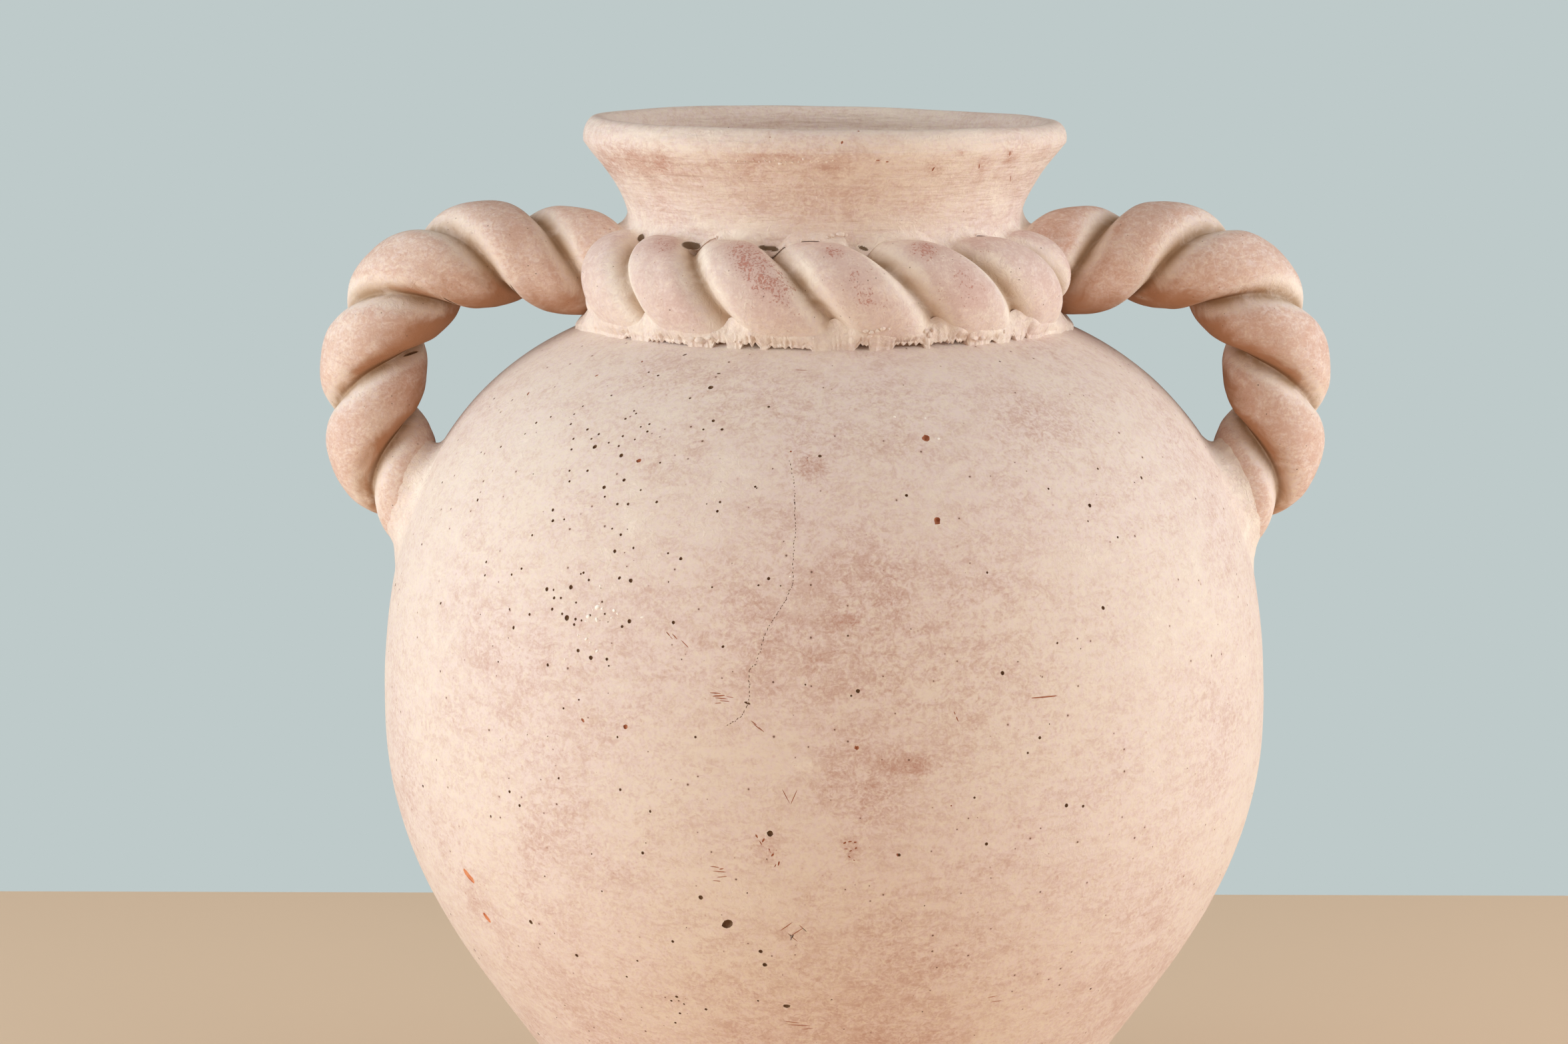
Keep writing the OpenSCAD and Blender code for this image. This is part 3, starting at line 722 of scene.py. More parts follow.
def dab_tree():
    """Small flat dabs on chosen points, and more scattered over a skin: holes and chips to cut, or drops."""
    tree, given, result = new_tree(
        "dabs", "GeometryNodeTree",
        {"Chosen": "Geometry", "Skin": "Object", "Most a square metre": "Float", "Spacing": "Float",
         "Smallest": "Float", "Largest": "Float", "Depth share": "Float", "Raggedness": "Float",
         "Seed": "Int", "Finish": "Material"},
        {"Dabs": "Geometry"},
    )

    def named(label, kind="FLOAT"):
        return Number(tree, add(tree, "GeometryNodeInputNamedAttribute", {"Name": label}, data_type=kind))

    def keep(geometry, label, value, kind="FLOAT"):
        inputs = {"Geometry": geometry, "Name": label, "Value": value}
        return add(tree, "GeometryNodeStoreNamedAttribute", inputs, data_type=kind, domain="POINT")

    def drawn(shift, low=0.0, high=1.0):
        inputs = {2: low, 3: high, "Seed": given["Seed"] + shift}
        return Number(tree, add(tree, "FunctionNodeRandomValue", inputs, data_type="FLOAT").outputs[1])

    chosen = add(tree, "GeometryNodeMeshToPoints", {"Mesh": given["Chosen"]})
    skin = add(tree, "GeometryNodeObjectInfo", {"Object": given["Skin"]}, transform_space="RELATIVE")
    scatter = add(
        tree, "GeometryNodeDistributePointsOnFaces",
        {"Mesh": skin.outputs["Geometry"], "Distance Min": given["Spacing"],
         "Density Max": given["Most a square metre"], "Density Factor": named("pitting"),
         "Seed": given["Seed"]},
        distribute_method="POISSON",
    )
    draw = drawn(1)
    spread = given["Largest"] - given["Smallest"]
    points = keep(scatter, "across", draw * draw * draw * spread + given["Smallest"])
    points = keep(points, "stretch", drawn(2, 1.0, 1.45))
    points = keep(points, "outward", scatter.outputs["Normal"], "FLOAT_VECTOR")
    side = add(tree, "ShaderNodeCombineXYZ", {0: drawn(3, -1.0), 1: drawn(4, -1.0), 2: drawn(5, -1.0)})
    points = keep(points, "along", side, "FLOAT_VECTOR")
    both = add(tree, "GeometryNodeJoinGeometry", {0: chosen})
    plug(tree, both, {0: points})

    outward = {"Vector": named("outward", "FLOAT_VECTOR")}
    stand = add(tree, "FunctionNodeAlignRotationToVector", outward, axis="Z")
    lengthwise = {"Rotation": stand, "Vector": named("along", "FLOAT_VECTOR")}
    turned = add(tree, "FunctionNodeAlignRotationToVector", lengthwise, axis="X", pivot_axis="Z")
    half = named("across") * 0.5
    depth = half * given["Depth share"]
    scale = add(tree, "ShaderNodeCombineXYZ", {"X": half * named("stretch"), "Y": half, "Z": depth})
    ball = add(tree, "GeometryNodeMeshIcoSphere", {"Radius": 1.0, "Subdivisions": 2})
    placed = add(
        tree, "GeometryNodeInstanceOnPoints",
        {"Points": both, "Instance": ball, "Rotation": turned, "Scale": scale},
    )
    real = add(tree, "GeometryNodeRealizeInstances", {"Geometry": placed})
    wave = cloud(tree, add(tree, "GeometryNodeInputPosition"), 1400.0, 1.0)
    normal = add(tree, "GeometryNodeInputNormal")
    ragged = (wave - 0.5) * given["Raggedness"] * named("across")
    push_and_finish(tree, result, real, normal, ragged, given["Finish"])
    return tree


def chosen_points(name, marks, wall):
    """Points where the photograph's marks lie on a wall, each with its size, outward way and length's way."""
    spots = []
    for x, y, across, *rest in marks:
        stretch, turn = rest or (1.0, 0.0)
        found = wall.hit(CAMERA_PLACE, ray_through(x, y))
        beside = wall.hit(CAMERA_PLACE, ray_through(x + 4 * cos(radians(turn)), y - 4 * sin(radians(turn))))
        if found is None or beside is None:
            continue
        place, outward = found
        pixel = (place - CAMERA_PLACE).length / PIXELS_A_UNIT
        spots.append((place, across * pixel, stretch, outward, (beside[0] - place).normalized()))
    mesh = mesh_of(name, [spot[0] for spot in spots], [])
    for k, label in enumerate(("across", "stretch", "outward", "along")):
        store(mesh, label, [spot[k + 1] for spot in spots])
    return link(name, mesh)


def dashes(route, across):
    """A broken line of short dashes along a route of pixels, as marks."""
    marks = []
    for (x0, y0), (x1, y1) in zip(route, route[1:]):
        run = hypot(x1 - x0, y1 - y0)
        turn = np.degrees(np.arctan2(y0 - y1, x1 - x0))
        place = chance.uniform(0, 3)
        while place < run:
            length = chance.uniform(1.5, 5)
            middle = min(place + length / 2, run) / run
            jitter = chance.uniform(-0.9, 0.9)
            x = x0 + (x1 - x0) * middle + jitter * (y1 - y0) / run
            y = y0 + (y1 - y0) * middle - jitter * (x1 - x0) / run
            marks.append((x, y, across, length / across, turn + chance.uniform(-14, 14)))
            place += length + chance.uniform(0.5, 4)
    return marks


def cloud(tree, place, scale, detail=2.0, roughness=0.5, distortion=0.0):
    """Noise around 0.5 at this many waves a metre."""
    inputs = {"Vector": place, "Scale": scale, "Detail": detail, "Roughness": roughness}
    return Number(tree, add(tree, "ShaderNodeTexNoise", inputs | {"Distortion": distortion}).outputs["Fac"])


def blend(tree, share, first, second):
    """The first colour where the share is 0, the second where it is 1."""
    node = add(tree, "ShaderNodeMix", {0: share, 6: first, 7: second}, data_type="RGBA")
    return node.outputs[2]


def slip_coat_group():
    """Slip brushed over clay: cream with rosy clouds, chalky where thick and bare where it has worn."""
    tree, given, result = new_tree(
        "slip_coat", "ShaderNodeTree",
        {"Place": "Vector"} | dict.fromkeys(("Slip", "Blush", "Wash", "Chalk", "Clay"), "Color")
        | dict.fromkeys(("Rosiness", "Strength", "Thickness", "Wear"), "Float"),
        {"Colour": "Color", "Height": "Float", "Roughness": "Float"},
    )
    place = given["Place"]
    wear = given["Wear"]
    brushed = add(tree, "ShaderNodeVectorMath", {0: place, 1: (1.0, 1.0, 1.6)}, operation="MULTIPLY")
    clouds = cloud(tree, place, 15.0, 3.0, 0.55, 0.4)
    patches = cloud(tree, brushed, 70.0, 4.0, 0.66, 1.1)
    fibres = cloud(tree, place, 330.0, 4.0, 0.68, 1.6)
    grain = cloud(tree, place, 1300.0, 2.0, 0.6)
    strands = cloud(tree, brushed, 160.0, 5.0, 0.75, 2.2)
    rosy = clouds * 0.08 + patches * 0.2 + strands * 0.3 + fibres * 0.3 + grain * 0.12
    rosy = rosy + given["Rosiness"] + wear * 0.1
    hue = clouds * 0.25 + cloud(tree, place, 560.0, 3.0, 0.75) * 0.75
    colour = blend(tree, hue.step(0.4, 0.6), given["Slip"], given["Blush"])
    strength = clouds.step(0.48, 0.68) * 0.2 + 0.6 + given["Strength"]
    colour = blend(tree, rosy.step(0.44, 0.64) * strength, colour, given["Wash"])
    thick = cloud(tree, place, 42.0, 4.0, 0.66, 0.8) * 0.5 + fibres * 0.5 + given["Thickness"]
    thick_share = thick.step(0.52, 0.76)
    colour = blend(tree, thick_share, colour, given["Chalk"])
    worn_share = (fibres * 0.6 + grain * 0.4 + wear * 0.17).step(0.63, 0.74)
    plug(tree, result, {
        "Colour": blend(tree, worn_share * 0.75, colour, given["Clay"]),
        "Height": patches * 0.18 + fibres * 0.07 + grain * 0.03 + thick_share * 0.1 - worn_share * 0.08,
        "Roughness": 0.66 + grain * 0.12 - thick_share * 0.06 + worn_share * 0.1,
    })
    return tree


def speck_group():
    """Pinprick holes in the slip, each with a soft stain."""
    tree, given, result = new_tree(
        "specks", "ShaderNodeTree", {"Place": "Vector", "Scale": "Float", "Amount": "Float"},
        {"Hole": "Float", "Stain": "Float"},
    )
    cells = add(tree, "ShaderNodeTexVoronoi", {"Vector": given["Place"], "Scale": given["Scale"]})
    draw = Number(tree, add(tree, "ShaderNodeSeparateColor", {0: cells.outputs["Color"]}))
    distance = Number(tree, cells) / (draw * draw * given["Amount"] + 0.012)
    plug(tree, result, {"Hole": distance.step(1.0, 0.7), "Stain": distance.step(2.6, 0.8)})
    return tree


def wheel_group():
    """Level marks that fingers and brush leave on a turning piece."""
    tree, given, result = new_tree(
        "wheel_marks", "ShaderNodeTree", {"Place": "Vector", "Closeness": "Float"},
        {"Height": "Float", "Streak": "Float"},
    )
    x, y, z = outputs_of(tree, add(tree, "ShaderNodeSeparateXYZ", {0: given["Place"]})).values()
    radius = (x * x + y * y).worked("SQRT").worked("MAXIMUM", 1e-4)
    level = add(
        tree, "ShaderNodeCombineXYZ",
        {"X": x / radius * 1.3, "Y": y / radius * 1.3, "Z": (z + radius * 0.4) * given["Closeness"]},
    )
    fine = cloud(tree, level, 4.5, 3.0, 0.6)
    plug(tree, result, {"Height": cloud(tree, level, 1.0, 3.0, 0.55) * 0.7 + fine * 0.3, "Streak": fine})
    return tree


COAT = slip_coat_group()
SPECKS = speck_group()
WHEEL = wheel_group()


def new_finish(name):
    """A material with its shader and the piece's own coordinates."""
    material = bpy.data.materials.new(name)
    material.use_nodes = True
    tree = material.node_tree
    shader = tree.nodes["Principled BSDF"]
    place = add(tree, "ShaderNodeTexCoord").outputs["Object"]
    return material, tree, shader, place


def group(tree, inner, inputs):
    """The outputs of a shared group that is put into this tree, by name."""
    return outputs_of(tree, add(tree, "ShaderNodeGroup", inputs, node_tree=inner))


def slip_coat(tree, place, changes):
    """The slip coat in its usual colours, apart from these changes."""
    usual = {"Slip": ROPE_CREAM, "Blush": BLUSH, "Wash": ROSE_WASH, "Chalk": CHALK, "Clay": RUST}
    return group(tree, COAT, usual | {"Place": place} | changes)


def layer(tree, name):
    """A number that is stored on the piece's points."""
    return Number(tree, add(tree, "ShaderNodeAttribute", attribute_name=name).outputs["Fac"])


def set_surface(tree, shader, colour, roughness, height):
    """Joins a colour, a roughness and a height in millimetres to a matt shader."""
    bump = add(tree, "ShaderNodeBump", {"Height": height, "Distance": MM, "Strength": 1.0})
    plug(tree, shader, {"Base Color": colour, "Roughness": roughness, "Normal": bump, "IOR": 1.42})


def thrown_finish(name, rosiness, thickness, speck_share, closeness, relief):
    """The slip on a thrown piece, with wheel marks and pinpricks, its marks from the painted layers, and
    painted shade in the pockets under the collar.
    """
    material, tree, shader, place = new_finish(name)
    low_down = outputs_of(tree, add(tree, "ShaderNodeSeparateXYZ", {0: place}))["Z"].step(170 * MM, 20 * MM)
    wheel = group(tree, WHEEL, {"Place": place, "Closeness": closeness})
    rose = layer(tree, "rose")
    coat = slip_coat(tree, place, {
        "Slip": CREAM,
        "Strength": rose * 0.6,
        "Rosiness": rose * 0.045 + low_down * 0.04 + rosiness + (wheel["Streak"] - 0.5) * 0.1,
        "Thickness": layer(tree, "chalk") * 0.1 + thickness,
        "Wear": layer(tree, "worn"),
    })
    specks = group(tree, SPECKS, {"Place": place, "Scale": 240.0, "Amount": speck_share})
    colour = blend(tree, specks["Stain"] * 0.22, coat["Colour"], RUST)
    colour = blend(tree, specks["Hole"] * 0.85, colour, PIT_BROWN)
    # Painted shade in the pockets under the collar
    colour = blend(tree, layer(tree, "painted_pocket_shade").step(0.4, 0.7), colour, POCKET_SHADE_BROWN)
    height = coat["Height"] + wheel["Height"] * relief - specks["Hole"] * 0.2
    set_surface(tree, shader, colour, coat["Roughness"], height)
    return material


def rope_finish(name, wash, thickness, shade_browning):
    """The slip on a rope: washed on its crests and creamy beside the grooves, with painted shade: tan in the
    grooves, darker brown in their bottoms, along the collar's foot and in the pockets, and brown underneath
    together with a browner wash.
    """
    material, tree, shader, place = new_finish(name)
    crest = layer(tree, "crest")
    coat = slip_coat(tree, place, {
        "Wash": wash,
        "Strength": 0.2,
        "Rosiness": crest.step(0.3, 0.75) * 0.1 - 0.05 - layer(tree, "skirt") * 0.05,
        "Thickness": crest.step(0.75, 0.45) * 0.09 + thickness,
        "Wear": layer(tree, "worn") + crest.step(0.9, 1.0) * 0.2,
    })
    blotches = cloud(tree, place, 60.0, 4.0, 0.65, 0.8)
    # Painted shade with a browner wash on the handle's under and inner sides
    underside_shade_and_wash = layer(tree, "under")
    # Painted shade: tan in the grooves, and darker brown in their bottoms, most on the undersides
    groove_shade = crest.step(0.5, 0.08) * blotches.step(0.25, 0.6)
    under = (underside_shade_and_wash + (blotches - 0.5) * 0.9).step(0.12, 0.66)
    crease_shade = crest.step(0.26, 0.04) * (underside_shade_and_wash.step(0.1, 0.7) * 0.7 + 0.3)
    # Painted shade in the pockets under the collar, kept off the lobes' crests
    painted_pocket_shade = (layer(tree, "painted_pocket_shade") + (blotches - 0.5) * 0.5).step(0.35, 0.75) * crest.step(0.7, 0.4)
    specks = group(tree, SPECKS, {"Place": place, "Scale": 330.0, "Amount": 0.1})
    colour = coat["Colour"]
    for share, brown in (
        (groove_shade * shade_browning, GROOVE_SHADE_TAN), (under * shade_browning, UNDERSIDE_SHADE_AND_WASH), (crease_shade * shade_browning, CREASE_SHADE_BROWN),
        # the foot layer is painted shade along the collar's foot at the ledge
        (painted_pocket_shade, POCKET_SHADE_BROWN), (layer(tree, "foot"), CREASE_SHADE_BROWN), (specks["Hole"] * 0.7, PIT_BROWN),
    ):
        colour = blend(tree, share, colour, brown)
    set_surface(tree, shader, colour, coat["Roughness"], coat["Height"] * 1.3 - specks["Hole"] * 0.15)
    return material


def clay_finish(name, base, shade, scale, relief=0.3):
    """Bare clay in two tones."""
    material, tree, shader, place = new_finish(name)
    wheel = group(tree, WHEEL, {"Place": place, "Closeness": 90.0})
    tone = cloud(tree, place, scale, 4.0, 0.6) * 0.7 + wheel["Streak"] * 0.3
    grain = cloud(tree, place, 900.0, 2.0)
    colour = blend(tree, tone.step(0.36, 0.66), base, shade)
    set_surface(tree, shader, colour, 0.8 + grain * 0.1, wheel["Height"] * relief + grain * 0.06)
    return material


def seam_finish(name):
    """Creamy slip smeared into a joint, with painted shade in the pockets under the collar's upper edge."""
    material, tree, shader, place = new_finish(name)
    coat = slip_coat(tree, place, {"Strength": 0.1, "Rosiness": 0.0, "Thickness": 0.12, "Wear": 0.0})
    colour = blend(tree, layer(tree, "painted_pocket_shade").step(0.4, 0.7), coat["Colour"], POCKET_SHADE_BROWN)
    set_surface(tree, shader, colour, coat["Roughness"], coat["Height"] * 1.6)
    return material


def line_object(points):
    """A curve object with one straight-stepped spline through these points."""
    curve = bpy.data.curves.new("line", "CURVE")
    curve.dimensions = "3D"
    spline = curve.splines.new("POLY")
    spline.points.add(len(points) - 1)
    for knot, point in zip(spline.points, points):
        knot.co = (*point, 1)
    return link("line", curve)


def handle_line(side, start_in, end_in, step=1 * MM):
    """The rope handle's middle line in the XZ plane, walked by its heading; side is -1 left, +1 right.

    It starts this far inside the neck and ends once it is this deep under the body's skin.
    """
    upper_end = HANDLE_TOP_RUN + HANDLE_UPPER_R * (pi / 2 + HANDLE_CLIMB)
    lower_start = upper_end + HANDLE_SIDE_RUN
    lower_end = lower_start + HANDLE_LOWER_R * HANDLE_LOWER_TURN
    along = -start_in
    out = HANDLE_START_R - start_in * cos(HANDLE_CLIMB)
    height = HANDLE_START_Z - start_in * sin(HANDLE_CLIMB)
    points = [Vector((side * out, 0, height))]
    while True:
        middle = along + step / 2
        upper = min(max(middle - HANDLE_TOP_RUN, 0), upper_end - HANDLE_TOP_RUN) / HANDLE_UPPER_R
        lower = min(max(middle - lower_start, 0), lower_end - lower_start) / HANDLE_LOWER_R
        heading = HANDLE_CLIMB - upper - lower
        along += step
        out += cos(heading) * step
        height += sin(heading) * step
        points.append(Vector((side * out, 0, height)))
        depth = BODY_SKIN.depth(np.array([out]), np.array([height]))[0][0]
        if along > lower_start and depth > end_in:
            return points


def around(angle, radius, height):
    """A point at this angle from the front towards the right handle, in degrees."""
    return Vector((radius * sin(radians(angle)), -radius * cos(radians(angle)), height))


def make_ropes(tree, handle_finish, collar_finish):
    """The eight strands: two in each handle, and two in each half of the collar."""
    start_in = 3 * MM
    common = {"Strand radius": STRAND_R, "Lay radius": LAY_R, "Unevenness": 0.7 * MM}
    made = {}
    for side, word in SIDES:
        for strand, half in STRANDS:
            turn = radians(HANDLE_PHASE + half - 360 * start_in / HANDLE_PITCH)
            made[f"handle_{word}_strand_{strand}"] = handle_line(side, start_in, 10 * MM), common | {
                "Up": (0.0, -1.0, 0.0),
                "Slip in groove": 3.6 * MM,
                "Pitch": -side * HANDLE_PITCH,
                "Phase": -side * (turn - pi / 2),
                "Round start": 1 * MM,
                "Round end": 1 * MM,
                "Seed": 3.0 + side,
                "Finish": handle_finish,
            }
    steps = ceil(radians(COLLAR_SWEEP) * COLLAR_R / (1 * MM))
    for word, start, seed in (("front", -80, 8.0), ("back", 100, 12.0)):
        line = [around(start + COLLAR_SWEEP * step / steps, COLLAR_R, COLLAR_Z) for step in range(steps + 1)]
        for strand, half in STRANDS:
            made[f"collar_{word}_strand_{strand}"] = line, common | {
                "Up": (0.0, 0.0, 1.0),
                "Slip in groove": 5 * MM,
                "Pitch": radians(COLLAR_PITCH_ANGLE) * COLLAR_R,
                "Phase": radians(COLLAR_PHASE + half + 360 * start / COLLAR_PITCH_ANGLE),
                "Round start": 12 * MM,
                "Round end": 12 * MM,
                "Seed": seed,
                "Finish": collar_finish,
            }
    ropes = {}
    for name, (line, sizes) in made.items():
        rope = grown(tree, line_object(line), name + "_clay", sizes)
        for skin in (BODY_SKIN, NECK_SKIN):
            stay_near_skin(rope, skin, 4 * MM)
        points = points_of(rope.data)
        normals = normals_of(rope.data)
        on_handle = name.startswith("handle")
        inward = -normals[:, 0] * np.sign(points[:, 0])
        # Painted shade, with a browner wash: the handle's inward and downward faces, by their normals
        store(rope.data, "under", np.clip(0.5 * inward - 0.62 * normals[:, 2], 0, 1) * on_handle)
        # skirt: creamier slip low on the collar; foot: painted shade along the collar's foot at the ledge
        for word, top, fade in (("skirt", 13 * MM, 8 * MM), ("foot", 1.2 * MM, 1.6 * MM)):
            store(rope.data, word, np.clip((LEDGE_Z + top - points[:, 2]) / fade, 0, 1) * (not on_handle))
        ropes[name] = rope
    return ropes


def spun(name, line, segments, closed, front_closeness=0.0):
    """A thrown piece: the outline turned round the axis, with closer points at the front if asked.

    A closed outline is a ring; an open one starts and ends on the axis.
    """
    steps = 2 * pi * np.arange(segments) / segments - pi
    angles = steps - front_closeness * np.sin(steps)
    points = []
    rows = []
    for radius, height in line:
        if radius < 1e-6:
            rows.append([len(points)] * segments)
            points.append((0, 0, height))
            continue
        rows.append(range(len(points), len(points) + segments))
        points += zip(radius * np.sin(angles), -radius * np.cos(angles), [height] * segments)
    faces = []
    for low, high in zip(rows, rows[1:] + rows[:1]) if closed else zip(rows, rows[1:]):
        for step in range(segments):
            after = (step + 1) % segments
            corners = (low[step], low[after], high[after], high[step])
            faces.append(tuple(dict.fromkeys(corners)))
    return mesh_of(name, points, faces)


def offset_inwards(line, distance):
    """The line moved to its inner side by this distance, square to itself."""
    moved = []
    for k, (radius, height) in enumerate(line):
        before = line[max(k - 1, 0)]
        after = line[min(k + 1, len(line) - 1)]
        run = (after[0] - before[0], after[1] - before[1])
        length = hypot(*run)
        moved.append((radius - run[1] / length * distance, height + run[0] / length * distance))
    return moved


def wobble(points, amount, size, seed):
    """A soft unevenness for each point, from minus to plus this amount."""
    shift = Vector((seed, 2.3 * seed, 0.7 * seed))
    return np.array([noise.noise(Vector(p) / size + shift) for p in points]) * amount


def set_finishes(mesh, outer, inner, segments, inner_rows):
    """Gives the mesh its outer finish, and the inner one to the faces of these rows."""
    mesh.materials.append(outer)
    mesh.materials.append(inner)
    index = np.zeros(len(mesh.polygons), dtype=np.int32)
    for row in inner_rows:
        index[row * segments:(row + 1) * segments] = 1
    mesh.polygons.foreach_set("material_index", index)


def make_body(finish, inner_finish):
    """The thrown body: outer skin, ledge, opening and the wall's inner side."""
    segments = 352
    outer = body_outer_line()
    base = [(0, 0), (BASE_R * 0.5, 0), (BASE_R - BASE_ROUND, 0)]
    for step in range(1, 4):
        angle = radians(30 * step)
        base.append((BASE_R - BASE_ROUND + BASE_ROUND * sin(angle), BASE_ROUND - BASE_ROUND * cos(angle)))
    under_ledge = LEDGE_Z - WALL
    inner = [p for p in offset_inwards(outer, WALL) if FLOOR + 2 * MM < p[1] < under_ledge][::-5]
    ledge = [(LEDGE_R - 6 * MM, LEDGE_Z), (THROAT_R, LEDGE_Z)]
    ledge += [(THROAT_R, under_ledge), (THROAT_R + 15 * MM, under_ledge)]
    floor = [(60 * MM, FLOOR + 0.5 * MM), (30 * MM, FLOOR), (0, FLOOR)]
    line = base + outer[1:] + ledge + inner + floor
    mesh = spun("body_shell_clay", line, segments, False, 0.5)
    points = points_of(mesh)
    radius = np.hypot(points[:, 0], points[:, 1])
    soft = wobble(points, 0.5 * MM, 60 * MM, 1) + wobble(points, 0.14 * MM, 14 * MM, 5)
    fade = np.clip(points[:, 2] / (8 * MM), 0, 1)
    points[:, :2] *= (1 + soft * fade / np.maximum(radius, 5 * MM))[:, None]
    move_points(mesh, points)
    first_inner = len(base) + len(outer) + 1
    set_finishes(mesh, finish, inner_finish, segments, range(first_inner, len(line) - 1))
    return link("body_shell_clay", mesh)


def make_neck(finish, inner_finish):
    """The neck and rim: a thrown ring that sits a little out of true."""
    segments = 320
    line = neck_outer_line()[:-1] + lip_line() + throat_line()[1:]
    mesh = spun("neck_and_rim_clay", line, segments, True)
    points = points_of(mesh)
    radius = np.hypot(points[:, 0], points[:, 1])
    soft = wobble(points, 0.6 * MM, 45 * MM, 3) + wobble(points, 0.22 * MM, 11 * MM, 7)
    points[:, :2] *= (1 + soft / radius)[:, None]
    lip_share = np.clip((points[:, 2] - (RIM_Z - 14 * MM)) / (14 * MM), 0, 1) ** 2
    sideways = points[:, 0] / RIM_R
    backward = points[:, 1] / RIM_R
    points[:, 2] -= 1.1 * MM * sideways * (1 + 0.3 * backward) * lip_share
    points[:, 2] += (wobble(points, 0.45 * MM, 30 * MM, 9) - 0.4 * MM) * lip_share
    move_points(mesh, points)
    first_inner = len(neck_outer_line()) - 1 + len(lip_line())
    set_finishes(mesh, finish, inner_finish, segments, range(first_inner, len(line) - 1))
    return link("neck_and_rim_clay", mesh)


def crossing(places, wall):
    """Where a row of places on one piece, walked inwards, goes under the wall: its index and the place."""
    depths = [wall.depth(place)[0] for place in places]
    for k in range(1, len(places)):
        if depths[k - 1] <= 0 < depths[k]:
            share = depths[k - 1] / (depths[k - 1] - depths[k])
            return k, places[k - 1].lerp(places[k], share)
    return None


class SeamSpot:
    """One cut through a slip seam: on the rope, in the joint and on the wall."""

    def __init__(self, places, met, wall, middle):
        self.k, self.joint = met
        self.places = places
        self.wall = wall
        self.middle = middle
        self.rope_lift = 0

    def spread(self, toward, up_rope, over_wall):
        """Sets how far the slip reaches back over the rope and forward over the wall."""
        self.back = self.joint
        left = up_rope
        for place in self.places[self.k - 1::-1]:
            run = (place - self.back).length
            if run > 0:
                self.back = self.back.lerp(place, min(left / run, 1))
            left -= run
            if left <= 0:
                break
        normal = self.wall.depth(self.joint)[2]
        way = (toward - normal * toward.dot(normal)).normalized()
        self.on_wall, self.normal = self.wall.depth(self.joint + way * over_wall)[1:]


def evened(rows, reach, mode="edge"):
    """Each row of numbers drawn towards its neighbours, as a finger does along a joint."""
    weights = np.hanning(2 * reach + 3)[1:-1]
    weights /= weights.sum()
    padded = np.pad(rows, ((reach, reach), (0, 0)), mode=mode)
    return np.stack([np.convolve(padded[:, k], weights, mode="valid") for k in range(rows.shape[1])], axis=1)


def band(name, rows, finish, closed=False):
    """A strip of slip through these rows of points: a ring, or with an end face at both ends."""
    count = len(rows[0])
    faces = []
    for row in range(len(rows) if closed else len(rows) - 1):
        after = (row + 1) % len(rows)
        for k in range(count):
            turn = (k + 1) % count
            faces.append((row * count + k, row * count + turn, after * count + turn, after * count + k))
    if not closed:
        faces.append(tuple(range(count)))
        faces.append(tuple((len(rows) - 1) * count + k for k in reversed(range(count))))
    mesh = mesh_of(name, [point for row in rows for point in row], faces)
    shell = bmesh.new()
    shell.from_mesh(mesh)
    bmesh.ops.recalc_face_normals(shell, faces=shell.faces)
    shell.to_mesh(mesh)
    shell.free()
    mesh.materials.append(finish)
    return link(name, mesh)


def slip_seam(name, spots, finish, closed, fullness, lumps):
    """A band of slip smeared into a joint: hollow between rope and wall, and sunk into both at its edges.

    Where a spot's edge is lifted, a thin dark gap stays open under it.
    """
    sink = 1.1 * MM
    edge = 0.5 * MM
    steps = 9
    for part in ("back", "joint", "on_wall", "normal"):
        places = np.array([getattr(spot, part) for spot in spots])
        for spot, place in zip(spots, evened(places, 7, "wrap" if closed else "edge")):
            setattr(spot, part, Vector(place))
    rows = []
    for spot in spots:
        into_rope = (spot.middle - spot.back).normalized()
        back = spot.back - into_rope * spot.rope_lift
        control = spot.joint.lerp((back + spot.on_wall) / 2, fullness)
        outward = (back + spot.on_wall) / 2 - spot.joint
        outward = outward.normalized() if outward.length > 1e-6 else spot.normal
        rope_sink = edge if spot.rope_lift > edge else sink
        row = [back + into_rope * rope_sink]
        for step in range(steps + 1):
            t = step / steps
            place = back * (1 - t) ** 2 + control * (2 * t * (1 - t)) + spot.on_wall * t ** 2
            lump = noise.noise(place / (5 * MM)) * 0.7 + noise.noise(place / (2 * MM)) * 0.15
            row.append(place + outward * (lump * lumps * 4 * t * (1 - t) + 0.08 * MM))
        row.append(spot.on_wall - spot.normal * sink)
        give = 1.6 * sink if rope_sink == sink else -edge
        row.append(spot.joint + into_rope * give - spot.normal * 1.6 * sink)
        rows.append(row)
    return band(name, rows, finish, closed)


def rope_place(rope, middle, way):
    """The rope's surface in this direction from its middle line."""
    reach = ROPE_R + 4 * MM
    found = rope.hit(middle + way * reach, -way, reach)
    return found[0] if found else middle + way * STRAND_R


